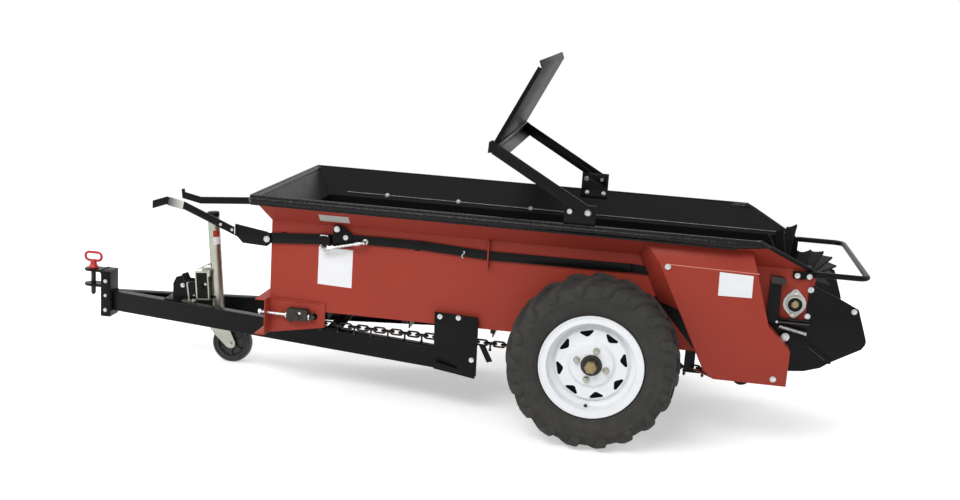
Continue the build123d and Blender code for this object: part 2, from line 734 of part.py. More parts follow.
with BuildPart() as wheel_hub:
    with BuildSketch(facing_side(HUB_OUTER - 6)):
        with Locations((AXLE_X, TYRE_RADIUS)):
            Circle(HUB_BORE_PILOT - 0.2)
    extrude(amount=HUB_OUTER - 6 - HUB_INNER)
    # Flange behind the disc that the wheel is bolted to.
    with BuildSketch(facing_side(DISC_Y + 2)):
        with Locations((AXLE_X, TYRE_RADIUS)):
            Circle(64)
    extrude(amount=8)
    with BuildSketch(facing_side(HUB_OUTER - 12)):
        with Locations((AXLE_X, TYRE_RADIUS)):
            Circle(AXLE_RADIUS + RUNNING_GAP)
    extrude(amount=HUB_OUTER - 12 - HUB_INNER, mode=Mode.SUBTRACT)
    # Boss under the dust cap.
    with BuildSketch(facing_side(HUB_OUTER)):
        with Locations((AXLE_X, TYRE_RADIUS)):
            Circle(20)
    extrude(amount=6)
write_pair(wheel_hub.part, "wheel_hub")

# ---- Apron: shafts, sprockets, chains, slats ------------------------------------------------------------
DRIVE_X = fwd(-480)
DRIVE_Z = 290.0
CHAIN_MID_Z = FLOOR_TOP + 0.2 + CHAIN_THICK / 2   # 0.2 mm above the floor board
IDLER_PITCH = CHAIN_MID_Z - IDLER_Z
DRIVE_PITCH = CHAIN_MID_Z - DRIVE_Z
SHAFT_RADIUS = 12.5

with BuildPart() as idler_shaft:
    with BuildSketch(facing_side(348)):
        with Locations((IDLER_X, IDLER_Z)):
            Circle(SHAFT_RADIUS - 1.0)
    extrude(amount=2 * 348)
    for y in (CHAIN_Y, -CHAIN_Y):
        with BuildSketch(facing_side(y + 8)):
            with Locations((IDLER_X, IDLER_Z)):
                Circle(IDLER_PITCH - CHAIN_THICK / 2 - 0.5)
        extrude(amount=16)
write(idler_shaft.part, "front_idler_shaft")

with BuildPart() as drive_shaft:
    with BuildSketch(facing_side(340)):
        with Locations((DRIVE_X, DRIVE_Z)):
            Circle(SHAFT_RADIUS)
    extrude(amount=2 * 340)
    for y in (CHAIN_Y, -CHAIN_Y):
        with BuildSketch(facing_side(y + 8)):
            with Locations((DRIVE_X, DRIVE_Z)):
                Circle(DRIVE_PITCH - CHAIN_THICK / 2 - 0.5)
        extrude(amount=16)
write(drive_shaft.part, "rear_drive_shaft")

with BuildPart() as apron_chain:
    # One closed loop of hook-link chain round the two sprockets.
    with BuildSketch(facing_side(CHAIN_Y + CHAIN_WIDTH / 2)):
        with Locations((IDLER_X, IDLER_Z)):
            Circle(IDLER_PITCH + CHAIN_THICK / 2)
        with Locations((DRIVE_X, DRIVE_Z)):
            Circle(DRIVE_PITCH + CHAIN_THICK / 2)
        make_hull()
    extrude(amount=CHAIN_WIDTH)
    with BuildSketch(facing_side(CHAIN_Y + CHAIN_WIDTH / 2)):
        with Locations((IDLER_X, IDLER_Z)):
            Circle(IDLER_PITCH - CHAIN_THICK / 2)
        with Locations((DRIVE_X, DRIVE_Z)):
            Circle(DRIVE_PITCH - CHAIN_THICK / 2)
        make_hull()
    extrude(amount=CHAIN_WIDTH, mode=Mode.SUBTRACT)
write_both(apron_chain.part, "apron_chains")

SLAT_HALF = 280.0
SLAT_BASE = 34.0
SLAT_LEG = 14.0
SLAT_SHEET = 4.0
SLAT_PITCH = 400.0
chain_drop = (IDLER_Z - IDLER_PITCH) - (DRIVE_Z - DRIVE_PITCH)


def return_run_bottom(x):
    """Underside of the chain's lower run at this X."""
    return DRIVE_Z - DRIVE_PITCH - CHAIN_THICK / 2 + chain_drop * (x - DRIVE_X) / (IDLER_X - DRIVE_X)


with BuildPart() as apron_slats:
    # Angle slats on the upper run lie on the chain; those on the return run hang from it.
    for number in range(4):
        for x, face, outward in (
            (DRIVE_X + 60 + number * SLAT_PITCH, FLOOR_TOP + CHAIN_THICK + 0.4, 1),
            (DRIVE_X + 210 + number * SLAT_PITCH, None, -1),
        ):
            z = face if face else return_run_bottom(x) - 0.6
            with BuildSketch(facing_side(SLAT_HALF)):
                with BuildLine():
                    Polyline(
                        (x, z),
                        (x + SLAT_BASE, z),
                        (x + SLAT_BASE, z + outward * SLAT_SHEET),
                        (x + SLAT_SHEET, z + outward * SLAT_SHEET),
                        (x + SLAT_SHEET, z + outward * SLAT_LEG),
                        (x, z + outward * SLAT_LEG),
                        close=True,
                    )
                make_face()
            extrude(amount=2 * SLAT_HALF)
write(apron_slats.part, "apron_slats")

TENSIONER_Y = BOX_HALF_WIDTH + CHEEK_SHEET
with BuildPart() as tensioner:
    # Take-up bearing block around the idler shaft, pulled by a bolt through the cross channel.
    with BuildSketch(facing_side(TENSIONER_Y + 28)):
        with Locations((IDLER_X, IDLER_Z + 2)):
            RectangleRounded(76, 44, 6)
        with Locations((IDLER_X, IDLER_Z)):
            Circle(SHAFT_RADIUS - 1.0 + 0.3, mode=Mode.SUBTRACT)
    extrude(amount=28)
    with BuildSketch(facing_front(IDLER_X + 36)):
        with Locations((TENSIONER_Y + 14, IDLER_Z + 2)):
            Circle(6)
    extrude(amount=CROSS_REAR - 0.3 - IDLER_X - 36)
write_both(tensioner.part, "chain_tensioners")

# ---- Drive covers ---------------------------------------------------------------------------------------
COVER_Y = 398.0
COVER_SHEET = 3.0
COVER_BOTTOM = 255.0
BEVEL = 70.0              # run of the front bevel along X
FLANGE_BOTTOM = 480.0     # lower end of the bevelled front
# Face outline (forward of the axle, Z), front top corner first.
COVER_FACE = [(-155, 700), (-485, 700), (-562, 451), (-639, 375), (-638, 255), (-403, 255), (-368, 279)]
# How far each corner moves forward at the wall.
COVER_SPREAD = [BEVEL, 0, 0, 0, 0, BEVEL, BEVEL]

with BuildPart() as drive_cover:
    with BuildSketch(facing_side(COVER_Y)):
        with BuildLine():
            Polyline(*[(fwd(x), z) for x, z in COVER_FACE], close=True)
        make_face()
    with BuildSketch(facing_side(BOX_HALF_WIDTH)):
        with BuildLine():
            Polyline(*[(fwd(x + s), z) for (x, z), s in zip(COVER_FACE, COVER_SPREAD)], close=True)
        make_face()
    loft(ruled=True)
    # Sloped top that leans back onto the flare, 0.4 mm clear of it.
    flare_gap = 0.4
    top_y = 371.0
    flare_at_top = BEND_Z + FLARE_SLOPE * (top_y - BOX_HALF_WIDTH) - flare_gap
    with BuildSketch(facing_front(fwd(-700))):
        with BuildLine():
            Polyline(
                (BOX_HALF_WIDTH, COVER_BOTTOM),
                (COVER_Y, COVER_BOTTOM),
                (COVER_Y, 631),
                (top_y, flare_at_top),
                (BOX_HALF_WIDTH, BEND_Z - flare_gap),
                close=True,
            )
        make_face()
    extrude(amount=700, mode=Mode.INTERSECT)
    flare_face = drive_cover.faces().filter_by(
        lambda f: f.normal_at().Y < -0.5 and f.normal_at().Z > 0.5
    )
    back_face = drive_cover.faces().sort_by(Axis.Y)[0]
    offset(amount=-COVER_SHEET, openings=[back_face] + list(flare_face), kind=Kind.INTERSECTION)
    # The bevelled front stops at FLANGE_BOTTOM; below it the case is open towards the front.
    with BuildSketch(facing_side(COVER_Y - COVER_SHEET)):
        with BuildLine():
            Polyline(
                (fwd(-273), FLANGE_BOTTOM),
                (fwd(-60), FLANGE_BOTTOM),
                (fwd(-60), 262),
                (fwd(-383), 262),
                close=True,
            )
        make_face()
    extrude(amount=COVER_Y, mode=Mode.SUBTRACT)
    # Back plate of the case, below the side wall.
    with BuildSketch(facing_side(BOX_HALF_WIDTH + COVER_SHEET)):
        with BuildLine():
            Polyline(
                (fwd(-637), 255.5),
                (fwd(-637), 330),
                (fwd(-388), 330),
                (fwd(-412), 280),
                (fwd(-424), 255.5),
                close=True,
            )
        make_face()
        with Locations((DRIVE_X, DRIVE_Z)):
            Circle(SHAFT_RADIUS + 2, mode=Mode.SUBTRACT)
    extrude(amount=COVER_SHEET)
write_pair(drive_cover.part, "drive_cover")

# ---- Beater ---------------------------------------------------------------------------------------------
BEATER_SHAFT = 13.0
BEATER_DRUM = 38.0
BEATER_HALF = 292.0
BLADE_ROWS = 5
BLADES = 4
BLADE_THICK = 6.0
BLADE_TWIST = 22.5        # turn from one row of blades to the next

with BuildPart() as beater_shaft:
    with BuildSketch(facing_side(334)):
        with Locations((BEATER_X, BEATER_Z)):
            Circle(BEATER_SHAFT)
    extrude(amount=2 * 334)
    with BuildSketch(facing_side(BEATER_HALF)):
        with Locations((BEATER_X, BEATER_Z)):
            Circle(BEATER_DRUM)
    extrude(amount=2 * BEATER_HALF)
write(beater_shaft.part, "beater_shaft")

with BuildPart() as beater_blades:
    row_length = 2 * BEATER_HALF / BLADE_ROWS
    for row in range(BLADE_ROWS):
        row_y = BEATER_HALF - row * row_length
        with BuildSketch(facing_side(row_y - 2)):
            with Locations((BEATER_X, BEATER_Z)):
                with PolarLocations(
                    (BEATER_DRUM + BEATER_RADIUS) / 2, BLADES, start_angle=row * BLADE_TWIST + 8
                ):
                    Rectangle(BEATER_RADIUS - BEATER_DRUM, BLADE_THICK)
        extrude(amount=row_length - 4)
        # Collar around the drum that carries the four blades of the row.
        with BuildSketch(facing_side(row_y - row_length / 2 + 15)):
            with Locations((BEATER_X, BEATER_Z)):
                Circle(BEATER_DRUM + 8)
        extrude(amount=30)
    with BuildSketch(facing_side(BEATER_HALF)):
        with Locations((BEATER_X, BEATER_Z)):
            Circle(BEATER_DRUM)
    extrude(amount=2 * BEATER_HALF, mode=Mode.SUBTRACT)
write(beater_blades.part, "beater_blades")

with BuildPart() as beater_bearing:
    # Two-bolt oval flange on the outside of the wall, and the raised bearing ring.
    with BuildSketch(facing_side(BOX_HALF_WIDTH + 10)):
        with Locations((BEATER_X, BEATER_Z)):
            Circle(37)
        with Locations((BEATER_X, BEATER_Z + 38), (BEATER_X, BEATER_Z - 38)):
            Circle(11)
        make_hull()
    extrude(amount=10)
    with BuildSketch(facing_side(BOX_HALF_WIDTH + 20)):
        with Locations((BEATER_X, BEATER_Z)):
            Circle(26)
    extrude(amount=10)
    with BuildSketch(facing_side(BOX_HALF_WIDTH + 20)):
        with Locations((BEATER_X, BEATER_Z)):
            Circle(BEATER_SHAFT + RUNNING_GAP)
    extrude(amount=20, mode=Mode.SUBTRACT)
write_both(beater_bearing.part, "beater_bearings")

# ---- Rear guard plates, pan and guard bar ---------------------------------------------------------------
REAR_SHEET = 4.0
PAN_RADIUS = 228.0
SIDE_GUARD_REAR = fwd(-888)

with BuildPart() as rear_pan:
    # Curved sheet under the beater.
    with BuildSketch(facing_side(BOX_HALF_WIDTH)):
        with BuildLine():
            CenterArc((BEATER_X, BEATER_Z), PAN_RADIUS, 236, 56)
            CenterArc((BEATER_X, BEATER_Z), PAN_RADIUS + REAR_SHEET, 236, 56)
            for angle in (236, 292):
                Line(
                    (
                        BEATER_X + PAN_RADIUS * cos(radians(angle)),
                        BEATER_Z + PAN_RADIUS * sin(radians(angle)),
                    ),
                    (
                        BEATER_X + (PAN_RADIUS + REAR_SHEET) * cos(radians(angle)),
                        BEATER_Z + (PAN_RADIUS + REAR_SHEET) * sin(radians(angle)),
                    ),
                )
        make_face()
    extrude(amount=2 * BOX_HALF_WIDTH)
    # End plates outside the side walls.
    for outer_y in (BOX_HALF_WIDTH + REAR_SHEET, -BOX_HALF_WIDTH):
        with BuildSketch(facing_side(outer_y)):
            with BuildLine():
                Polyline(
                    (fwd(-655), 410),
                    (fwd(-776), 326),
                    (fwd(-752), 308),
                    (fwd(-700), 291),
                    (fwd(-655), 286),
                    (fwd(-641), 286),
                    (fwd(-641), 377),
                    (fwd(-608), 410),
                    close=True,
                )
            make_face()
        extrude(amount=REAR_SHEET)
write(rear_pan.part, "rear_pan")

with BuildPart() as rear_guard_plate:
    guard_outer = BOX_HALF_WIDTH + 2 * REAR_SHEET + 0.2
    with BuildSketch(facing_side(guard_outer)):
        with BuildLine():
            Polyline(
                (fwd(-688), 580),
                (fwd(-700), 586),
                (fwd(-789), 550),
                (fwd(-852), 520),
                (SIDE_GUARD_REAR + 4, 428),
                (SIDE_GUARD_REAR, 414),
                (SIDE_GUARD_REAR + 2, 402),
                (fwd(-876), 386),
                (fwd(-776), 328),
                (fwd(-655), 412),
                (fwd(-598), 440),
                (fwd(-598), 470),
                (fwd(-688), 466),
                close=True,
            )
        make_face()
    extrude(amount=REAR_SHEET)
    # Packer that brings the plate's front edge back to the wall.
    with Locations((fwd(-694), BOX_HALF_WIDTH + (REAR_SHEET + 0.2) / 2, 520)):
        Box(16, REAR_SHEET + 0.2, 100)
write_both(rear_guard_plate.part, "rear_guard_plates")

BAR_RADIUS = 9.5
BAR_Z = 626.0
BAR_Y = BOX_HALF_WIDTH + BAR_RADIUS + 1
BAR_REAR = fwd(-870)
BAR_BEND = 34.0

# One bent tube, kept as three lengths that meet in the middle of each bend.
bend_inset = BAR_BEND * (1 - cos(radians(45)))
left_joint = (BAR_REAR + bend_inset, BAR_Y - bend_inset, BAR_Z)
right_joint = (BAR_REAR + bend_inset, bend_inset - BAR_Y, BAR_Z)

with BuildPart() as guard_bar:
    with BuildLine() as rear_path:
        RadiusArc(left_joint, (BAR_REAR, BAR_Y - BAR_BEND, BAR_Z), -BAR_BEND)
        Line((BAR_REAR, BAR_Y - BAR_BEND, BAR_Z), (BAR_REAR, BAR_BEND - BAR_Y, BAR_Z))
        RadiusArc((BAR_REAR, BAR_BEND - BAR_Y, BAR_Z), right_joint, -BAR_BEND)
    rear_wire = rear_path.wires()[0]
    with BuildSketch(Plane(origin=left_joint, z_dir=rear_wire % 0)):
        Circle(BAR_RADIUS)
    sweep(path=rear_wire, transition=Transition.RIGHT)
write(guard_bar.part, "guard_bar")

with BuildPart() as guard_bar_arm:
    with BuildLine() as arm_path:
        Line((fwd(-700), BAR_Y, BAR_Z), (BAR_REAR + BAR_BEND, BAR_Y, BAR_Z))
        RadiusArc((BAR_REAR + BAR_BEND, BAR_Y, BAR_Z), left_joint, -BAR_BEND)
    with BuildSketch(facing_front(fwd(-700))):
        with Locations((BAR_Y, BAR_Z)):
            Circle(BAR_RADIUS)
    sweep(path=arm_path.wires()[0], transition=Transition.RIGHT)
    # Flattened end, with two bolts into the side wall.
    with BuildSketch(facing_side(BOX_HALF_WIDTH + 10)):
        with BuildLine():
            Polyline(
                (fwd(-628), 630),
                (fwd(-628), 606),
                (fwd(-660), 604),
                (fwd(-704), 616),
                (fwd(-704), 634),
                close=True,
            )
        make_face()
    extrude(amount=10)
write_both(guard_bar_arm.part, "guard_bar_arms")

# ---- Controls -------------------------------------------------------------------------------------------
STRAP_SHEET = 5.0
STRAP_INNER = BOX_HALF_WIDTH + 4.0

with BuildPart() as control_strap:
    # Front strap, bell crank plate and rear strap, side by side on the wall.
    with BuildSketch(facing_side(STRAP_INNER + STRAP_SHEET)):
        with BuildLine():
            Polyline(
                (fwd(1186), 550),
                (fwd(1186), 587),
                (fwd(905), 606),
                (fwd(905), 570),
                close=True,
            )
        make_face()
    extrude(amount=STRAP_SHEET)
    with BuildSketch(facing_side(STRAP_INNER + 2 * STRAP_SHEET)):
        with BuildLine():
            Polyline(
                (fwd(940), 560),
                (fwd(940), 628),
                (fwd(924), 640),
                (fwd(908), 638),
                (fwd(872), 612),
                (fwd(872), 566),
                close=True,
            )
        make_face()
    extrude(amount=STRAP_SHEET)
    with BuildSketch(facing_side(STRAP_INNER + STRAP_SHEET)):
        with BuildLine():
            Polyline(
                (fwd(898), 578),
                (fwd(898), 609),
                (fwd(628), 610),
                (fwd(383), 597),
                (fwd(-100), 601),
                (fwd(-100), 572),
                (fwd(383), 566),
                (fwd(628), 579),
                close=True,
            )
        make_face()
    extrude(amount=STRAP_SHEET)
    # Stand-off blocks that carry the strap on the wall.
    for forward in (1120, 640, 388, -40):
        with Locations((fwd(forward), (BOX_HALF_WIDTH + STRAP_INNER) / 2, 584)):
            Box(20, STRAP_INNER - BOX_HALF_WIDTH, 20)
write_both(control_strap.part, "control_straps")

LEVER_SHEET = 6.0
LEVER_INNER = STRAP_INNER + STRAP_SHEET + 0.2
# Bar from its bolts on the pivot plate to the grip: (forward, Z) of its centre line.
LEFT_BAR = [(1285, 580), (1480, 658), (1548, 671), (1600, 652)]
RIGHT_BAR = [(1270, 592), (1486, 575), (1677, 559), (1752, 574)]
BAR_HALF_HEIGHT = 14.0

for side, lean, bar in (("left", 1, LEFT_BAR), ("right", -1, RIGHT_BAR)):
    with BuildPart() as lever:
        plate_y = LEVER_INNER + LEVER_SHEET if lean > 0 else -LEVER_INNER
        with BuildSketch(facing_side(plate_y)):
            with BuildLine():
                Polyline(
                    (fwd(1166), 549),
                    (fwd(1166), 584),
                    (fwd(1178), 592),
                    (fwd(1296), 610),
                    (fwd(1296), 574),
                    (fwd(1266), 544),
                    (fwd(1178), 540),
                    close=True,
                )
            make_face()
        extrude(amount=LEVER_SHEET)
        bar_y = plate_y + lean * LEVER_SHEET
        with BuildSketch(facing_side(bar_y)):
            with BuildLine():
                Polyline(
                    *[(fwd(x), z + BAR_HALF_HEIGHT) for x, z in bar],
                    *[(fwd(x), z - BAR_HALF_HEIGHT) for x, z in reversed(bar)],
                    close=True,
                )
            make_face()
        extrude(amount=LEVER_SHEET)
    write(lever.part, f"{side}_control_lever")

# ---- Top shield -----------------------------------------------------------------------------------------
MOUNT_SHEET = 6.0
PIVOT_X = fwd(57)
PIVOT_Z = 777.0
STOP_X = fwd(119)
ARM_SHEET = 6.0
ARM_HALF = 19.0
ARM_LENGTH = 374.0
ARM_ANGLE = 29.6
ARM_OUTER = RIM_INSIDE + 6.8
PIVOT_BOLT = 6.0
STOP_RADIUS = 11.0
MOUNT_LENGTH = 104.0
MOUNT_TOP = 800.0
MOUNT_OUTER = RIM_INSIDE - 0.2
MOUNT_LAP = 32.0          # how far the mount's lower part reaches down the flare



def on_flare(y, above=0.0):
    """Z of the side lining's inner surface at this Y, or of a surface this far above it, square to the slope."""
    return side_bend + FLARE_SLOPE * (y - side_face) + above * flare_run


with BuildPart() as shield_mount:
    # Plate that stands up inside the rim and is bent to lie on the flare below it.
    lap_y = MOUNT_OUTER - MOUNT_LAP
    seat = 0.3
    with BuildSketch(facing_front(fwd(33))):
        with BuildLine():
            Polyline(
                (MOUNT_OUTER, MOUNT_TOP),
                (MOUNT_OUTER, on_flare(MOUNT_OUTER, seat)),
                (lap_y, on_flare(lap_y, seat)),
                (lap_y, on_flare(lap_y, seat + MOUNT_SHEET)),
                (MOUNT_OUTER - MOUNT_SHEET, on_flare(MOUNT_OUTER - MOUNT_SHEET, seat + MOUNT_SHEET)),
                (MOUNT_OUTER - MOUNT_SHEET, MOUNT_TOP),
                close=True,
            )
        make_face()
    extrude(amount=MOUNT_LENGTH)
    # Pivot bolt and the stop that the arm rests on.
    for x, radius, outer_y in ((PIVOT_X, PIVOT_BOLT, ARM_OUTER + 1), (STOP_X, STOP_RADIUS, ARM_OUTER)):
        with BuildSketch(facing_side(outer_y)):
            with Locations((x, PIVOT_Z)):
                Circle(radius)
        extrude(amount=outer_y - MOUNT_OUTER + 1)
    # Head outside the arm, nut inside the plate.
    for outer_y in (ARM_OUTER + 1 + 7, MOUNT_OUTER - MOUNT_SHEET):
        with BuildSketch(facing_side(outer_y)):
            with Locations((PIVOT_X, PIVOT_Z)):
                RegularPolygon(11, 6)
        extrude(amount=7)
write_both(shield_mount.part, "shield_mounts")

arm_dir = (cos(radians(ARM_ANGLE)), sin(radians(ARM_ANGLE)))


def along_arm(distance, offset_up=0.0):
    """(X, Z) of a point this far along the arm from its pivot, and this far above its centre line."""
    return (
        PIVOT_X + distance * arm_dir[0] - offset_up * arm_dir[1],
        PIVOT_Z + distance * arm_dir[1] + offset_up * arm_dir[0],
    )


with BuildPart() as shield_arm:
    with BuildSketch(facing_side(ARM_OUTER)):
        with Locations((PIVOT_X, PIVOT_Z)):
            Circle(ARM_HALF)
        with BuildLine():
            Polyline(
                along_arm(0, -ARM_HALF),
                along_arm(ARM_LENGTH, -ARM_HALF),
                along_arm(ARM_LENGTH, ARM_HALF),
                along_arm(0, ARM_HALF),
                close=True,
            )
        make_face()
        with Locations((PIVOT_X, PIVOT_Z)):
            Circle(PIVOT_BOLT + RUNNING_GAP, mode=Mode.SUBTRACT)
    extrude(amount=ARM_SHEET)
write_both(shield_arm.part, "shield_arms")

CROSS_ARM_HALF = ARM_OUTER - ARM_SHEET
ANGLE_LEG = 40.0
ANGLE_SHEET = 4.0

with BuildPart() as shield_cross_angle:
    # Angle between the arm ends: one leg behind the panel, one along the arms' lower edge.
    with BuildSketch(facing_side(CROSS_ARM_HALF)):
        with BuildLine():
            Polyline(
                along_arm(ARM_LENGTH, -ARM_HALF),
                along_arm(ARM_LENGTH, -ARM_HALF + ANGLE_LEG),
                along_arm(ARM_LENGTH - ANGLE_SHEET, -ARM_HALF + ANGLE_LEG),
                along_arm(ARM_LENGTH - ANGLE_SHEET, -ARM_HALF + ANGLE_SHEET),
                along_arm(ARM_LENGTH - ANGLE_LEG, -ARM_HALF + ANGLE_SHEET),
                along_arm(ARM_LENGTH - ANGLE_LEG, -ARM_HALF),
                close=True,
            )
        make_face()
    extrude(amount=2 * CROSS_ARM_HALF)
write(shield_cross_angle.part, "shield_cross_angle")

PANEL_SHEET = 3.0
PANEL_LENGTH = 304.0
PANEL_HOOK = 24.0         # length of the flange bent forward along the top edge
HOOK_TURN = 48.0
PANEL_LEAN = 3.0          # the panel leans this much more than square to the arms
PANEL_HALF = 404.0
panel_lean_dir = radians(ARM_ANGLE + 90 - PANEL_LEAN)
PANEL_START = 3.0


def on_panel(distance, depth=0.0):
    """(X, Z) of a point this far up the panel from its lower edge, and this far in front of its back face."""
    start_x, start_z = along_arm(ARM_LENGTH + 0.3, PANEL_START)
    return (
        start_x + distance * cos(panel_lean_dir) + depth * sin(panel_lean_dir),
        start_z + distance * sin(panel_lean_dir) - depth * cos(panel_lean_dir),
    )


with BuildPart() as shield_panel:
    hook_dir = panel_lean_dir - radians(HOOK_TURN)
    hook = (PANEL_HOOK * cos(hook_dir), PANEL_HOOK * sin(hook_dir))
    top_back = on_panel(PANEL_LENGTH)
    top_front = on_panel(PANEL_LENGTH - PANEL_SHEET / 2, PANEL_SHEET)
    with BuildSketch(facing_side(PANEL_HALF)):
        with BuildLine():
            Polyline(
                on_panel(0),
                top_back,
                (top_back[0] + hook[0], top_back[1] + hook[1]),
                (top_front[0] + hook[0], top_front[1] + hook[1]),
                top_front,
                on_panel(0, PANEL_SHEET),
                close=True,
            )
        make_face()
    extrude(amount=2 * PANEL_HALF)
    # Narrow flanges down both side edges, on the front.
    for outer_y in (PANEL_HALF, PANEL_SHEET - PANEL_HALF):
        with BuildSketch(facing_side(outer_y)):
            with BuildLine():
                Polyline(
                    on_panel(0, PANEL_SHEET - 0.5),
                    on_panel(PANEL_LENGTH - PANEL_SHEET, PANEL_SHEET - 0.5),
                    on_panel(PANEL_LENGTH - PANEL_SHEET, 14),
                    on_panel(0, 14),
                    close=True,
                )
            make_face()
        extrude(amount=PANEL_SHEET)
write(shield_panel.part, "shield_panel")

# ---- Jack -----------------------------------------------------------------------------------------------
JACK_LEAN = 4.7           # the tube leans forward at its top
JACK_X = fwd(1469)        # a point on the tube's axis
JACK_Z = 209.0
SWING_X = fwd(1525)       # swing pivot of the jack
SWING_Z = 293.0
TUBE_RADIUS = 22.5
INNER_RADIUS = 19.45
TUBE_BOTTOM = -9.0        # along the axis from the point above
TUBE_TOP = 372.0
CASTER_RADIUS = 76.0
CASTER_TRAIL = 49.0
CASTER_DOWN = 137.4
lean_x = sin(radians(JACK_LEAN))
lean_z = cos(radians(JACK_LEAN))

jack_plane = Plane(origin=(JACK_X, 0, JACK_Z), x_dir=(lean_z, 0, -lean_x), z_dir=(lean_x, 0, lean_z))


def jack_side(y):
    """Plane at this Y whose sketch axes run square to the tube (forward) and up along it."""
    return Plane(origin=(JACK_X, y, JACK_Z), x_dir=(lean_z, 0, -lean_x), z_dir=(0, -1, 0))


EAR_INNER = 28.0
EAR_SHEET = 5.0
BRACKET_HEIGHT = 112.0

with BuildPart() as jack_mount:
    # Base plate across the two tongue channels, and two upright ears that hold the pivot bolt.
    with Locations((fwd(1632), 0, BEAM_TOP + 3)):
        Box(64, 140, 6)
    for outer_y in (EAR_INNER + EAR_SHEET, -EAR_INNER):
        with BuildSketch(facing_side(outer_y)):
            with BuildLine():
                Polyline(
                    (fwd(1525), 311),
                    (fwd(1587), 304),
                    (fwd(1599), 308),
                    (fwd(1608), 328),
                    (fwd(1630), 320),
                    (fwd(1642), 295),
                    (fwd(1642), BEAM_TOP + 6),
                    (fwd(1588), BEAM_TOP + 6),
                    (fwd(1525), 275),
                    close=True,
                )
            make_face()
            with Locations((SWING_X, SWING_Z)):
                Circle(18)
        extrude(amount=EAR_SHEET)
    with BuildSketch(facing_side(47)):
        with Locations((SWING_X, SWING_Z)):
            Circle(8)
    extrude(amount=94)
write(jack_mount.part, "jack_mount")

with BuildPart() as jack_tube:
    with BuildSketch(jack_plane.offset(TUBE_BOTTOM)):
        Circle(TUBE_RADIUS)
    extrude(amount=TUBE_TOP - TUBE_BOTTOM)
    # Bore, closed by the cap at the top.
    with BuildSketch(jack_plane.offset(TUBE_BOTTOM)):
        Circle(INNER_RADIUS + RUNNING_GAP)
    extrude(amount=TUBE_TOP - TUBE_BOTTOM - 6, mode=Mode.SUBTRACT)
    # Channel welded to the front of the tube: its web, then its two legs outside the ears.
    leg_inner = EAR_INNER + EAR_SHEET + 0.5
    leg_sheet = 4.0
    with BuildSketch(jack_side(leg_inner + leg_sheet)):
        with Locations((TUBE_RADIUS + 1.5, 92)):
            Rectangle(5, BRACKET_HEIGHT)
    extrude(amount=2 * (leg_inner + leg_sheet))
    for outer_y in (leg_inner + leg_sheet, -leg_inner):
        with BuildSketch(jack_side(outer_y)):
            with Locations(((TUBE_RADIUS - 1 + 74) / 2, 92)):
                Rectangle(74 - TUBE_RADIUS + 1, BRACKET_HEIGHT)
        extrude(amount=leg_sheet)
    with BuildSketch(facing_side(leg_inner + leg_sheet)):
        with Locations((SWING_X, SWING_Z)):
            Circle(8 + RUNNING_GAP)
    extrude(amount=2 * (leg_inner + leg_sheet), mode=Mode.SUBTRACT)
write(jack_tube.part, "jack_tube")

HEAD_TOP = -43.5
FORK_TOP = -44.0
FORK_PLATE = 6.0
KINGPIN = 8.0

with BuildPart() as inner_tube:
    with BuildSketch(jack_plane.offset(HEAD_TOP)):
        Circle(INNER_RADIUS)
    extrude(amount=200)
    # Kingpin through the fork's plate, with its head underneath.
    with BuildSketch(jack_plane.offset(HEAD_TOP)):
        Circle(KINGPIN)
    extrude(amount=-(FORK_PLATE + 7))
    with BuildSketch(jack_plane.offset(FORK_TOP - FORK_PLATE - 1)):
        Circle(13)
    extrude(amount=-4)
write(inner_tube.part, "jack_inner_tube")

WHEEL_HALF = 18.0
FORK_INNER = 22.0
FORK_SHEET = 4.0
CASTER_BOLT = 6.0
CASTER_BOLT_HALF = FORK_INNER + FORK_SHEET + 6

with BuildPart() as caster_fork:
    with BuildSketch(jack_plane.offset(FORK_TOP)):
        with Locations((-6, 0)):
            RectangleRounded(76, 2 * (FORK_INNER + FORK_SHEET), 8)
        Circle(KINGPIN + RUNNING_GAP, mode=Mode.SUBTRACT)
    extrude(amount=-FORK_PLATE)
    for outer_y in (FORK_INNER + FORK_SHEET, -FORK_INNER):
        with BuildSketch(jack_side(outer_y)):
            with Locations((-CASTER_TRAIL, -CASTER_DOWN)):
                Circle(15)
            with Locations((-6, FORK_TOP - FORK_PLATE / 2)):
                Rectangle(64, FORK_PLATE)
            make_hull()
        extrude(amount=FORK_SHEET)
    # Axle bolt.
    with BuildSketch(jack_side(CASTER_BOLT_HALF)):
        with Locations((-CASTER_TRAIL, -CASTER_DOWN)):
            Circle(CASTER_BOLT)
    extrude(amount=2 * CASTER_BOLT_HALF)
write(caster_fork.part, "caster_fork")

with BuildPart() as caster_wheel:
    with BuildSketch(jack_side(WHEEL_HALF)):
        with Locations((-CASTER_TRAIL, -CASTER_DOWN)):
            Circle(CASTER_RADIUS)
    extrude(amount=2 * WHEEL_HALF)
    fillet(caster_wheel.edges().filter_by(GeomType.CIRCLE), radius=6)
    # Hub as wide as the fork allows.
    with BuildSketch(jack_side(FORK_INNER - 1)):
        with Locations((-CASTER_TRAIL, -CASTER_DOWN)):
            Circle(14)
    extrude(amount=2 * (FORK_INNER - 1))
    with BuildSketch(jack_side(FORK_INNER)):
        with Locations((-CASTER_TRAIL, -CASTER_DOWN)):
            Circle(CASTER_BOLT + RUNNING_GAP)
    extrude(amount=2 * FORK_INNER, mode=Mode.SUBTRACT)
write(caster_wheel.part, "caster_wheel")
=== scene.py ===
"""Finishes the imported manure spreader: surfaces, tyres, chains, paddles, bolts, welds and the studio."""

from math import cos, pi, radians, sin

import bmesh
import bpy
from bpy.props import FloatProperty, FloatVectorProperty, IntProperty, PointerProperty
from bpy.types import Operator, Panel, PropertyGroup
from mathutils import Matrix, Vector


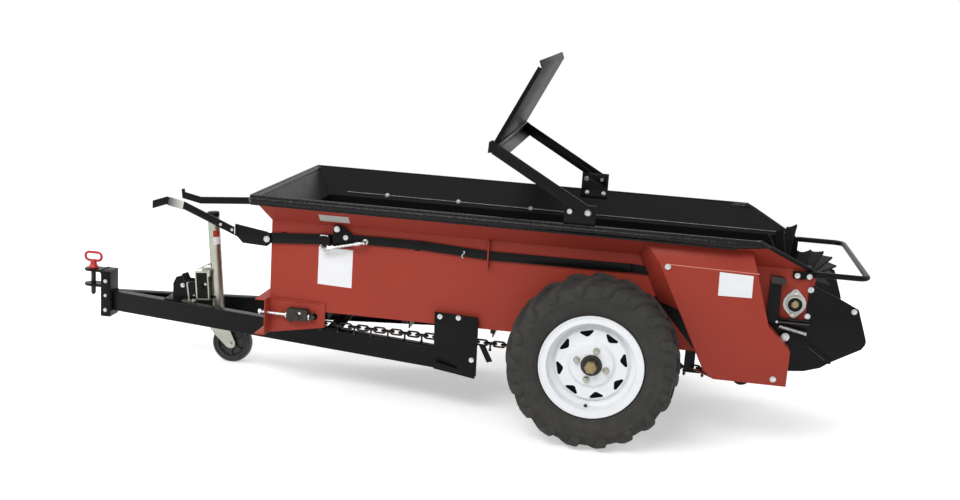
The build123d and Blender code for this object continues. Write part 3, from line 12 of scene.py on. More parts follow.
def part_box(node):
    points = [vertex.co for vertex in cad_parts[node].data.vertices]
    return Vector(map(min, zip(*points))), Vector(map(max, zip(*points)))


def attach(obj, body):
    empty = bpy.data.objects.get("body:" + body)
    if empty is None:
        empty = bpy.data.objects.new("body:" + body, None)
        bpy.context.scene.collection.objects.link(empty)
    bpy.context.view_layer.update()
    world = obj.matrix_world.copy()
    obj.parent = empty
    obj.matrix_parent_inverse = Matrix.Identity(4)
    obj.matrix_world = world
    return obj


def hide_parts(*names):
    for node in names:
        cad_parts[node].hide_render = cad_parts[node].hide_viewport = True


bl_info = {
    "name": "Compact Manure Spreader",
    "version": (1, 0, 0),
    "blender": (4, 5, 0),
    "location": "3D View > Sidebar > Spreader",
    "description": "Surfaces, tyres, chains, paddles, fasteners and studio for a compact manure spreader",
    "category": "Object",
}

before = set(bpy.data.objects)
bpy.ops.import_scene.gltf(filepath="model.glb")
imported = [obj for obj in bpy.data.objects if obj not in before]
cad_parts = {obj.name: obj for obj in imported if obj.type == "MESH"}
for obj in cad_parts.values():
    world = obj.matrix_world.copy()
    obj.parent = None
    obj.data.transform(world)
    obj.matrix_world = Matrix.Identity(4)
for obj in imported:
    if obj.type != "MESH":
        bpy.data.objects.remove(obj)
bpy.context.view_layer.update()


def middle(node):
    """Centre of a CAD node's box."""
    low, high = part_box(node)
    return (Vector(low) + Vector(high)) / 2


AXLE = middle("axle")
MM = 1000  # millimetres in a metre


def at(forward, side, height):
    """A point in metres from millimetres forward of the axle, to the left, and above the ground."""
    return Vector((AXLE.x + forward / MM, side / MM, height / MM))


# ---- Settings -------------------------------------------------------------------------------------------
class SpreaderColours(PropertyGroup):
    """Paints and plastics."""

    red: FloatVectorProperty(
        name="Red Enamel", description="Paint of the box, drive covers and cross channel",
        subtype="COLOR", min=0, max=1, default=(0.325, 0.043, 0.027),
    )
    black: FloatVectorProperty(
        name="Black Enamel", description="Paint of the rims, tongue, shield and controls",
        subtype="COLOR", min=0, max=1, default=(0.0044, 0.0044, 0.0047),
    )
    white: FloatVectorProperty(
        name="White Enamel", description="Paint of the wheel rims",
        subtype="COLOR", min=0, max=1, default=(0.80, 0.82, 0.84),
    )
    rubber: FloatVectorProperty(
        name="Tyre Rubber", description="Colour of the tyres",
        subtype="COLOR", min=0, max=1, default=(0.027, 0.0268, 0.0255),
    )
    handle: FloatVectorProperty(
        name="Pin Handle", description="Plastic of the hitch pin's ring and collar",
        subtype="COLOR", min=0, max=1, default=(0.45, 0.012, 0.015),
    )


class SpreaderSizes(PropertyGroup):
    """Sizes of the repeated details."""

    lug_count: IntProperty(
        name="Lugs per Side", description="Tread bars on each side of a tyre", min=8, max=40, default=18,
    )
    lug_height: FloatProperty(
        name="Lug Height", description="Depth of the tread", subtype="DISTANCE", unit="LENGTH",
        min=0.005, max=0.03, default=0.014,
    )
    link_pitch: FloatProperty(
        name="Chain Pitch", description="Distance from one link of the apron chain to the next",
        subtype="DISTANCE", unit="LENGTH", min=0.02, max=0.08, default=0.031,
    )
    edge_round: FloatProperty(
        name="Plate Edge", description="Rounding of cut plate edges", subtype="DISTANCE", unit="LENGTH",
        min=0.0002, max=0.003, default=0.0009,
    )
    bolt_head: FloatProperty(
        name="Bolt Head", description="Radius of a bolt head over its corners", subtype="DISTANCE",
        unit="LENGTH", min=0.004, max=0.02, default=0.0088,
    )
    paddle_fall: FloatProperty(
        name="Paddle Fall", description="How far a paddle's edge falls from its raised corner to the other",
        subtype="DISTANCE", unit="LENGTH", min=0.0, max=0.08, default=0.030,
    )
    camera_lens: FloatProperty(
        name="Lens", description="Focal length of the camera in millimetres", min=10, max=200, default=45.66,
    )


def sizes():
    """The sizes set in the scene."""
    return bpy.context.scene.spreader_sizes


def colours():
    """The colours set in the scene."""
    return bpy.context.scene.spreader_colours


# ---- Node helpers ---------------------------------------------------------------------------------------
SAME_PLACE = 1e-6  # metres; corners nearer than this are one
CORNER = 0.7  # radians; edges that turn more than this are cut corners, which are rounded


def place_node(tree, kind, inputs=None, **settings):
    """Adds one node. An input is given a value, or linked when it is given a socket."""
    node = tree.nodes.new(kind)
    for name, value in settings.items():
        setattr(node, name, value)
    for key, value in (inputs or {}).items():
        if isinstance(value, bpy.types.NodeSocket):
            tree.links.new(value, node.inputs[key])
        else:
            node.inputs[key].default_value = value
    return node


def new_tree(name, inputs):
    """A Geometry Nodes tree with nothing but its inputs: Geometry and (name, socket type, default) each."""
    tree = bpy.data.node_groups.new(name, "GeometryNodeTree")
    tree.interface.new_socket("Geometry", in_out="INPUT", socket_type="NodeSocketGeometry")
    for label, kind, value in inputs:
        socket = tree.interface.new_socket(label, in_out="INPUT", socket_type=kind)
        if value is not None:
            socket.default_value = value
    tree.interface.new_socket("Geometry", in_out="OUTPUT", socket_type="NodeSocketGeometry")
    return tree, tree.nodes.new("NodeGroupInput")


def close_tree(tree, given, geometry):
    """Ends a tree in Realize Instances and Set Material."""
    real = place_node(tree, "GeometryNodeRealizeInstances", {"Geometry": geometry}).outputs[0]
    surface = {"Geometry": real, "Material": given.outputs["Material"]}
    painted = place_node(tree, "GeometryNodeSetMaterial", surface).outputs[0]
    place_node(tree, "NodeGroupOutput", {"Geometry": painted})


def tree_math(tree, operation, first, second=0.0):
    """The result of one sum on one or two values or sockets."""
    return place_node(tree, "ShaderNodeMath", {0: first, 1: second}, operation=operation).outputs[0]


def vector(tree, **parts):
    """A vector from its X, Y and Z. What isn't given is 0."""
    return place_node(tree, "ShaderNodeCombineXYZ", parts).outputs[0]


def join(tree, *shapes):
    """Several shapes as one."""
    node = place_node(tree, "GeometryNodeJoinGeometry")
    for shape in shapes:
        tree.links.new(shape, node.inputs[0])
    return node.outputs[0]


def moved(tree, shape, **how):
    """A shape with a Translation, Rotation or Scale."""
    return place_node(tree, "GeometryNodeTransform", {"Geometry": shape, **how}).outputs[0]


def own_turn(tree, rotation, turn):
    """A rotation with a further turn about its own axes."""
    values = {"Rotation": rotation, "Rotate By": turn}
    return place_node(tree, "FunctionNodeRotateRotation", values, rotation_space="LOCAL").outputs[0]


def cylinder(tree, sides, radius, depth):
    """An upright cylinder about the origin."""
    values = {"Vertices": sides, "Radius": radius, "Depth": depth}
    return place_node(tree, "GeometryNodeMeshCylinder", values).outputs[0]


def spots_along(tree, given, step):
    """Points along the given edges, one step apart."""
    path = place_node(tree, "GeometryNodeMeshToCurve", {"Mesh": given.outputs["Geometry"]}).outputs[0]
    values = {"Curve": path, "Length": step}
    return place_node(tree, "GeometryNodeResampleCurve", values, mode="LENGTH").outputs[0]


def copy_to(tree, spots, shape, **how):
    """Copies of a shape on points, with a Rotation, Scale or Selection."""
    values = {"Points": spots, "Instance": shape, **how}
    return place_node(tree, "GeometryNodeInstanceOnPoints", values).outputs[0]


def new_object(name, mesh):
    """An object in the scene that shows the mesh."""
    piece = bpy.data.objects.new(name, mesh)
    bpy.context.scene.collection.objects.link(piece)
    return piece


def grow(name, base_mesh, tree, values):
    """Runs a tree on a mesh and keeps the result as a plain mesh at the origin."""
    piece = new_object(name, base_mesh)
    modifier = piece.modifiers.new("shape", "NODES")
    modifier.node_group = tree
    for item in tree.interface.items_tree:
        if item.in_out == "INPUT" and item.name in values:
            modifier[item.identifier] = values[item.name]
    bpy.context.view_layer.update()
    graph = bpy.context.evaluated_depsgraph_get()
    mesh = bpy.data.meshes.new_from_object(piece.evaluated_get(graph))
    piece.modifiers.clear()
    piece.data = mesh
    return piece


def points_mesh(points, directions, scales):
    """A mesh of loose points that carry a direction and a size."""
    mesh = bpy.data.meshes.new("points")
    mesh.from_pydata([tuple(p) for p in points], [], [])
    out = mesh.attributes.new("out", "FLOAT_VECTOR", "POINT")
    out.data.foreach_set("vector", [part for way in directions for part in way])
    size = mesh.attributes.new("size", "FLOAT", "POINT")
    size.data.foreach_set("value", list(scales))
    return mesh


def shade_smooth(mesh, angle):
    """Smooth shading with creases where faces meet at more than the angle."""
    for polygon in mesh.polygons:
        polygon.use_smooth = True
    mesh.set_sharp_from_angle(angle=radians(angle))


def kept_mesh(bm, name):
    """Keeps a drawing as a mesh."""
    mesh = bpy.data.meshes.new(name)
    bm.to_mesh(mesh)
    bm.free()
    return mesh


def mesh_from(bm, name, angle):
    """Turns a drawing into a smooth mesh whose normals point outwards."""
    bmesh.ops.remove_doubles(bm, verts=bm.verts, dist=SAME_PLACE)
    bmesh.ops.recalc_face_normals(bm, faces=bm.faces)
    mesh = kept_mesh(bm, name)
    shade_smooth(mesh, angle)
    return mesh


def dress(piece, finish_name, body, replaces=()):
    """Gives a finished piece its material and body, and hides the nodes that it stands for."""
    if not piece.data.materials:
        piece.data.materials.append(material(finish_name))
    else:
        piece.data.materials[0] = material(finish_name)
    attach(piece, body)
    if replaces:
        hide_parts(*replaces)
    return piece


def grow_piece(name, base_mesh, tree, values, body, finish_name, angle, replaces=()):
    """A finished piece that a tree grows from a mesh."""
    piece = grow(name, base_mesh, tree, {**values, "Material": material(finish_name)})
    shade_smooth(piece.data, angle)
    return dress(piece, finish_name, body, replaces)


def corners(bm, places):
    """Adds a corner at each place and gives them back in order."""
    return [bm.verts.new(place) for place in places]


def skin(bm, loops, closed=False):
    """Adds faces between each loop of corners and the next, and from the last to the first if closed."""
    for here, there in zip(loops, loops[1:] + loops[:1] if closed else loops[1:]):
        for k in range(len(here)):
            j = (k + 1) % len(here)
            bm.faces.new((here[k], here[j], there[j], there[k]))


def add_lathe(bm, centre, profile, steps):
    """Adds a closed ring: a profile of (offset along the axis, radius) turned about Y through the centre."""
    rings = []
    for step in range(steps):
        turn = 2 * pi * step / steps
        rings.append(
            corners(
                bm,
                [(centre[0] + r * cos(turn), centre[1] + y, centre[2] + r * sin(turn)) for y, r in profile],
            )
        )
    skin(bm, rings, closed=True)


def plate(bm, axis, outline, low, high):
    """Adds a flat plate: an outline across the named axis, from one place on that axis to another."""
    along = "XYZ".index(axis)
    across = [i for i in range(3) if i != along]
    ends = []
    for place in (low, high):
        spots = []
        for point in outline:
            spot = [place] * 3
            spot[across[0]], spot[across[1]] = point
            spots.append(spot)
        ends.append(corners(bm, spots))
    bm.faces.new(ends[0])
    bm.faces.new(list(reversed(ends[1])))
    skin(bm, ends)


def block(bm, low, high):
    """Adds a box between two corners."""
    outline = [(low[0], low[2]), (high[0], low[2]), (high[0], high[2]), (low[0], high[2])]
    plate(bm, "Y", outline, low[1], high[1])


def turned(bm, centre, direction, profile, steps=32, closed=False):
    """Adds a turned part: (distance along its direction, radius), capped at both ends or closed to a ring."""
    place = Matrix.Translation(centre) @ Vector(direction).to_track_quat("Z", "Y").to_matrix().to_4x4()
    turns = [2 * pi * k / steps for k in range(steps)]
    rings = [
        corners(bm, [place @ Vector((r * cos(t), r * sin(t), run)) for t in turns]) for run, r in profile
    ]
    skin(bm, rings, closed)
    if not closed:
        bm.faces.new(list(reversed(rings[0])))
        bm.faces.new(rings[-1])


def rod(bm, start, end, radius, steps=20):
    """Adds a round bar between two points."""
    run = Vector(end) - Vector(start)
    turned(bm, start, run, [(0, radius), (run.length, radius)], steps)


def ball(bm, centre, radius, bands=12, pole=0.05):
    """Adds a ball, whose two poles are tiny flats."""
    turns = [pi * k / bands for k in range(bands + 1)]
    profile = [(-radius * cos(t), max(pole, radius * sin(t))) for t in turns]
    turned(bm, centre, (0, 1, 0), profile, 2 * bands)


def placed(bm, place, *shapes):
    """Adds shapes drawn about the origin and then set in place."""
    before = len(bm.verts)
    for maker, *values in shapes:
        maker(bm, *values)
    bm.verts.ensure_lookup_table()
    bmesh.ops.transform(bm, matrix=place, verts=bm.verts[before:])


def to_metres(bm):
    """Brings a drawing in millimetres from the axle into the frame."""
    to_frame = Matrix.Translation((AXLE.x, 0, 0)) @ Matrix.Scale(1 / MM, 4)
    bmesh.ops.transform(bm, matrix=to_frame, verts=bm.verts)


def add_twin(bm):
    """Adds the mirror image on the other side of the machine."""
    twin = bmesh.ops.duplicate(bm, geom=bm.verts[:] + bm.edges[:] + bm.faces[:])["geom"]
    bmesh.ops.scale(bm, vec=(1, -1, 1), verts=[g for g in twin if isinstance(g, bmesh.types.BMVert)])
    bmesh.ops.reverse_faces(bm, faces=[g for g in twin if isinstance(g, bmesh.types.BMFace)])


def make_piece(name, body, finish_name, shapes, both_sides=False, replaces=(), edge=0.5, angle=35):
    """One piece from a list of (maker, *values), drawn in millimetres forward of the axle, aside and up."""
    bm = bmesh.new()
    for maker, *values in shapes:
        maker(bm, *values)
    bmesh.ops.recalc_face_normals(bm, faces=bm.faces)
    if edge:
        sharp = [e for e in bm.edges if e.is_manifold and e.calc_face_angle(0) > CORNER]
        bmesh.ops.bevel(bm, geom=sharp, offset=edge, segments=2, affect="EDGES", clamp_overlap=True)
    if both_sides:
        add_twin(bm)
    to_metres(bm)
    mesh = kept_mesh(bm, name)
    shade_smooth(mesh, angle)
    return dress(new_object(name, mesh), finish_name, body, replaces)


def path_mesh(paths, both_sides=False):
    """Edges along paths of (points in millimetres, closed or not)."""
    bm = bmesh.new()
    for points, closed in paths:
        for mirror in (1, -1) if both_sides else (1,):
            row = corners(bm, [(x, mirror * y, z) for x, y, z in points])
            for here, there in zip(row, row[1:] + row[:1] if closed else row[1:]):
                bm.edges.new((here, there))
    to_metres(bm)
    return kept_mesh(bm, "path")


def rod_tree():
    """Sweeps a round section along a path whose corners are bent to a radius."""
    tree, given = new_tree(
        "bent rod",
        [
            ("Radius", "NodeSocketFloat", 0.004), ("Bend", "NodeSocketFloat", 0.01),
            ("Bend Steps", "NodeSocketInt", 8), ("Sides", "NodeSocketInt", 14),
            ("Material", "NodeSocketMaterial", None),
        ],
    )
    path = place_node(tree, "GeometryNodeMeshToCurve", {"Mesh": given.outputs["Geometry"]})
    bent = place_node(
        tree, "GeometryNodeFilletCurve",
        {
            "Curve": path.outputs[0], "Count": given.outputs["Bend Steps"], "Radius": given.outputs["Bend"],
            "Limit Radius": True,
        },
        mode="POLY",
    )
    section = place_node(
        tree, "GeometryNodeCurvePrimitiveCircle",
        {"Resolution": given.outputs["Sides"], "Radius": given.outputs["Radius"]},
    )
    swept = place_node(
        tree, "GeometryNodeCurveToMesh",
        {"Curve": bent.outputs[0], "Profile Curve": section.outputs[0], "Fill Caps": True},
    )
    close_tree(tree, given, swept.outputs[0])
    return tree


def bend_rod(name, body, finish_name, paths, radius, bend, both_sides=False, steps=8, sides=14):
    """A bent round rod, or several of one size."""
    values = {"Radius": radius / MM, "Bend": bend / MM, "Bend Steps": steps, "Sides": sides}
    return grow_piece(name, path_mesh(paths, both_sides), rod_tree(), values, body, finish_name, 50)


# ---- Materials ------------------------------------------------------------------------------------------
MATERIALS = {}
COAT_ROUGHNESS = 0.12
BUMP_STRENGTH = 0.6


def material(name):
    """A finish that has been made."""
    return MATERIALS[name]


def noise(tree, place, scale, detail, roughness):
    """Clouds of the given size over the object's own coordinates."""
    values = {"Vector": place, "Scale": scale, "Detail": detail, "Roughness": roughness}
    return place_node(tree, "ShaderNodeTexNoise", values).outputs[0]


def stretch(tree, value, taken, given=(0.0, 1.0), **settings):
    """Brings one range of a value to another."""
    values = {
        "Value": value, "From Min": taken[0], "From Max": taken[1], "To Min": given[0], "To Max": given[1],
    }
    return place_node(tree, "ShaderNodeMapRange", values, **settings).outputs[0]


def mix(tree, share, first, second):
    """Two colours mixed."""
    return place_node(tree, "ShaderNodeMix", {0: share, 6: first, 7: second}, data_type="RGBA").outputs[2]


def powder(tree, place, paint, strength, colour, top):
    """Patches of dust that thin out from the ground up to the top height."""
    height = place_node(tree, "ShaderNodeSeparateXYZ", {0: place}).outputs["Z"]
    low = stretch(tree, height, (top, 0.0))
    patches = stretch(tree, noise(tree, place, 28.0, 9.0, 0.75), (0.38, 0.68), (0.15, 1.0))
    amount = tree_math(tree, "MULTIPLY", tree_math(tree, "MULTIPLY", low, patches), strength)
    return mix(tree, amount, paint, (*colour, 1))


def finish(
    name, colour, worn, roughness, spread=0.08, metallic=0.0, coat=0.0, mottle=6.0, worn_share=0.35,
    grain=350.0, grain_height=0.00012, shine=0.5, dust=None, coarse=None, fade=None,
):
    """A painted, plated or moulded surface: clouded colour, uneven gloss and fine grain.
    It may have dust (strength, colour, top), a coarse wave (scale, height), or a fade to worn between two
    places forward, which paints a glare as a highlight."""
    made = bpy.data.materials.new(name)
    made.use_nodes = True
    tree = made.node_tree
    tree.nodes.clear()
    place = place_node(tree, "ShaderNodeTexCoord").outputs["Object"]
    if fade:
        forward = place_node(tree, "ShaderNodeSeparateXYZ", {0: place}).outputs["X"]
        share = stretch(tree, forward, fade, interpolation_type="SMOOTHSTEP")
    else:
        share = stretch(tree, noise(tree, place, mottle, 6.0, 0.6), (0.42, 0.75), (0.0, worn_share))
    paint = mix(tree, share, (*colour, 1), (*worn, 1))
    gloss_range = (max(0.02, roughness - spread), min(1.0, roughness + spread))
    gloss = stretch(tree, noise(tree, place, mottle * 5, 8.0, 0.7), (0.25, 0.75), gloss_range)
    if dust:
        paint = powder(tree, place, paint, *dust)
    fine = noise(tree, place, grain, 2.0, 0.5)
    bump = place_node(
        tree, "ShaderNodeBump", {"Height": fine, "Strength": BUMP_STRENGTH, "Distance": grain_height}
    )
    if coarse:
        wave = noise(tree, place, coarse[0], 3.0, 0.5)
        bump = place_node(
            tree, "ShaderNodeBump",
            {"Height": wave, "Strength": BUMP_STRENGTH, "Distance": coarse[1], "Normal": bump.outputs[0]},
        )
    shader = place_node(
        tree, "ShaderNodeBsdfPrincipled",
        {
            "Base Color": paint, "Roughness": gloss, "Metallic": metallic, "Coat Weight": coat,
            "Coat Roughness": COAT_ROUGHNESS, "Specular IOR Level": shine, "Normal": bump.outputs[0],
        },
    )
    place_node(tree, "ShaderNodeOutputMaterial", {"Surface": shader.outputs[0]})
    MATERIALS[name] = made


def make_finishes():
    """Each finish: name, colour, worn colour, roughness, spread of the roughness, and what sets it apart."""
    red = tuple(colours().red)
    black = tuple(colours().black)
    white = tuple(colours().white)
    rubber = tuple(colours().rubber)
    dull_black = (0.008, 0.008, 0.008)
    # The sleeve on the left lever is light grey up to the first place and black from the second: the light
    # grey is a painted glare.
    grip = (at(1470, 0, 0).x, at(1556, 0, 0).x)
    finish(
        "red enamel", red, (red[0] * 0.84, red[1] * 0.8, red[2] * 0.8), 0.40, 0.06, shine=0.16,
        mottle=3.0, grain=240.0, grain_height=0.00008, coarse=(9.0, 0.0010),
    )
    finish(
        "black enamel", black, dull_black, 0.32, 0.10, shine=0.12, mottle=8.0,
        grain=300.0, grain_height=0.00016, coarse=(40.0, 0.0004),
    )
    finish(
        "rim coating", black, (0.011, 0.011, 0.011), 0.20, 0.08, shine=0.18, mottle=60.0,
        worn_share=0.5, grain=170.0, grain_height=0.0022, coarse=(60.0, 0.0022),
    )
    finish(
        "liner poly", (0.0055, 0.0055, 0.006), dull_black, 0.32, 0.08, shine=0.13, mottle=5.0,
        grain=200.0, grain_height=0.00014, coarse=(6.0, 0.0016),
    )
    finish(
        "beater black", (0.0045, 0.0045, 0.0045), (0.012, 0.011, 0.010), 0.62, 0.12, shine=0.18,
        mottle=30.0, grain=240.0, grain_height=0.0003,
    )
    finish(
        "zinc plate", (0.42, 0.43, 0.37), (0.27, 0.28, 0.24), 0.34, 0.12, metallic=0.9, mottle=25.0,
        grain=400.0, grain_height=0.00006,
    )
    finish(
        "bright zinc", (0.62, 0.63, 0.63), (0.26, 0.27, 0.27), 0.30, 0.12, metallic=0.9, mottle=110.0,
        worn_share=0.8, grain=600.0, grain_height=0.00010,
    )
    finish(
        "cast iron", (0.022, 0.020, 0.018), (0.055, 0.044, 0.034), 0.52, 0.14, metallic=0.4, mottle=30.0,
        grain=260.0, grain_height=0.00035,
    )
    finish(
        "bearing grey", (0.52, 0.53, 0.50), (0.30, 0.30, 0.28), 0.42, 0.12, metallic=0.45, mottle=40.0,
        grain=300.0, grain_height=0.00020,
    )
    finish(
        "white enamel", white, (white[0] * 0.93, white[1] * 0.93, white[2] * 0.92), 0.30, 0.06,
        coat=0.4, mottle=12.0, grain=260.0, grain_height=0.00005,
    )
    finish(
        "tyre rubber", rubber, (0.040, 0.039, 0.035), 0.74, 0.12, shine=0.25, mottle=14.0, worn_share=0.6,
        grain=420.0, grain_height=0.00035, coarse=(45.0, 0.0006), dust=(0.22, (0.11, 0.098, 0.078), 0.75),
    )
    finish(
        "caster rubber", (0.020, 0.020, 0.020), (0.040, 0.039, 0.037), 0.50, 0.12, mottle=25.0,
        grain=400.0, grain_height=0.00015,
    )
    finish(
        "handle plastic", tuple(colours().handle), (0.32, 0.012, 0.012), 0.38, 0.06, mottle=20.0,
        grain=500.0, grain_height=0.00006,
    )
    finish(
        "shaft grease", (0.30, 0.23, 0.11), (0.16, 0.115, 0.055), 0.40, 0.14, metallic=0.55, mottle=70.0,
        grain=350.0, grain_height=0.0003,
    )
    finish(
        "blank plate", (0.55, 0.57, 0.54), (0.46, 0.48, 0.46), 0.40, 0.08, metallic=0.35, mottle=30.0,
        grain=500.0, grain_height=0.00004,
    )
    finish(
        "blank label", (0.80, 0.81, 0.83), (0.72, 0.73, 0.75), 0.42, 0.06, mottle=20.0,
        grain=500.0, grain_height=0.00003,
    )
    finish(
        "guard tube", (0.0045, 0.0045, 0.0048), dull_black, 0.28, 0.05, shine=0.09, mottle=12.0,
        grain=300.0, grain_height=0.00010,
    )
    # A light red that stands for the light caught on the covers' bend: a painted highlight.
    finish(
        "hem edge", (0.66, 0.27, 0.22), (0.40, 0.09, 0.06), 0.40, 0.06, mottle=26.0, worn_share=0.5,
        grain=300.0, grain_height=0.00006,
    )
    finish(
        "shield black", black, dull_black, 0.44, 0.08, shine=0.05, mottle=6.0, grain=300.0,
        grain_height=0.00014, coarse=(20.0, 0.0004),
    )
    # A light grey that stands for the light caught on the lining's crease: a painted highlight.
    finish(
        "worn crease", (0.30, 0.30, 0.30), (0.020, 0.020, 0.020), 0.40, 0.08, mottle=26.0, worn_share=0.7,
        grain=400.0, grain_height=0.00008,
    )
    # A light grey that fades into black along the lever's sleeve: a painted glare, a highlight.
    finish(
        "worn grip", (0.60, 0.60, 0.56), (0.010, 0.010, 0.010), 0.34, 0.08, metallic=0.3, mottle=30.0,
        grain=400.0, grain_height=0.00008, fade=grip,
    )


# The finish of every node that is carried over.
NODE_FINISH = {
    "red enamel": (
        "left_side_wall", "right_side_wall", "front_wall", "front_cross_channel", "cheek_plates",
        "left_drive_cover", "right_drive_cover",
    ),
    "black enamel": (
        "left_tongue_beam", "right_tongue_beam", "frame_brackets", "hitch_post", "hitch_clevis", "axle",
        "axle_hangers", "floor_bearers", "rear_pan", "rear_guard_plates", "jack_mount",
        "control_straps", "left_control_lever", "right_control_lever", "shield_mounts", "shield_arms",
        "shield_cross_angle", "apron_slats",
    ),
    "shield black": ("shield_panel",),
    "beater black": ("beater_shaft", "beater_blades"),
    "guard tube": ("guard_bar", "guard_bar_arms"),
    "rim coating": ("rim_rails", "front_rim_rail"),
    "liner poly": ("poly_liner", "floor_board"),
    "zinc plate": ("jack_tube", "jack_inner_tube", "caster_fork", "hitch_pin"),
    "cast iron": ("apron_chains", "chain_tensioners", "front_idler_shaft", "rear_drive_shaft"),
    "bearing grey": ("beater_bearings",),
    "white enamel": ("left_wheel_rim", "right_wheel_rim"),
    "shaft grease": ("left_wheel_hub", "right_wheel_hub"),
    "tyre rubber": ("left_tyre", "right_tyre"),
    "caster rubber": ("caster_wheel",),
}
# Nodes of flat plate, whose cut edges are rounded.
PLATE_NODES = (
    "front_cross_channel", "cheek_plates", "left_drive_cover", "right_drive_cover", "left_tongue_beam",
    "right_tongue_beam", "frame_brackets", "hitch_post", "hitch_clevis", "rear_guard_plates",
    "control_straps", "left_control_lever", "right_control_lever", "shield_mounts", "shield_arms",
    "shield_cross_angle", "shield_panel", "jack_mount",
)


class PaintFrame(Operator):
    """Gives every carried-over node its finish, smooth curves and rounded plate edges"""

    bl_idname = "spreader.paint_frame"
    bl_label = "Paint Frame"

    gap = 0.00001  # metres between corners that are joined
    flat = radians(0.5)  # faces that meet at less are joined
    cut = radians(40)  # edges that turn more are rounded
    crease = radians(32)  # edges that turn more stay sharp in the shading

    def execute(self, context):
        make_finishes()
        for finish_name, nodes in NODE_FINISH.items():
            for node in nodes:
                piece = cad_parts[node]
                piece.data.materials.clear()
                piece.data.materials.append(material(finish_name))
        smooth = self.smooth_tree()
        for name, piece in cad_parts.items():
            if name in PLATE_NODES:
                self.round_edges(piece)
            shading = piece.modifiers.new("smooth curves", "NODES")
            shading.node_group = smooth
        return {"FINISHED"}

    def round_edges(self, piece):
        """Joins the triangles into flat faces and rounds the edges between them."""
        weld = piece.modifiers.new("weld", "WELD")
        weld.merge_threshold = self.gap
        faces = piece.modifiers.new("flat faces", "DECIMATE")
        faces.decimate_type = "DISSOLVE"
        faces.angle_limit = self.flat
        bevel = piece.modifiers.new("plate edge", "BEVEL")
        bevel.width = sizes().edge_round
        bevel.segments = 2
        bevel.limit_method = "ANGLE"
        bevel.angle_limit = self.cut

    def smooth_tree(self):
        """Joins the loose triangles and shades them smooth between the creases."""
        tree, given = new_tree("smooth curves", [("Crease Angle", "NodeSocketFloat", self.crease)])
        joined = place_node(
            tree, "GeometryNodeMergeByDistance", {"Geometry": given.outputs["Geometry"], "Distance": self.gap}
        )
        faces = place_node(
            tree, "GeometryNodeSetShadeSmooth", {"Geometry": joined.outputs[0], "Shade Smooth": True},
            domain="FACE",
        )
        angle = place_node(tree, "GeometryNodeInputMeshEdgeAngle").outputs[0]
        gentle = place_node(
            tree, "FunctionNodeCompare", {0: angle, 1: given.outputs["Crease Angle"]}, operation="LESS_EQUAL"
        ).outputs[0]
        edges = place_node(
            tree, "GeometryNodeSetShadeSmooth", {"Geometry": faces.outputs[0], "Shade Smooth": gentle},
            domain="EDGE",
        )
        place_node(tree, "NodeGroupOutput", {"Geometry": edges.outputs[0]})
        return tree


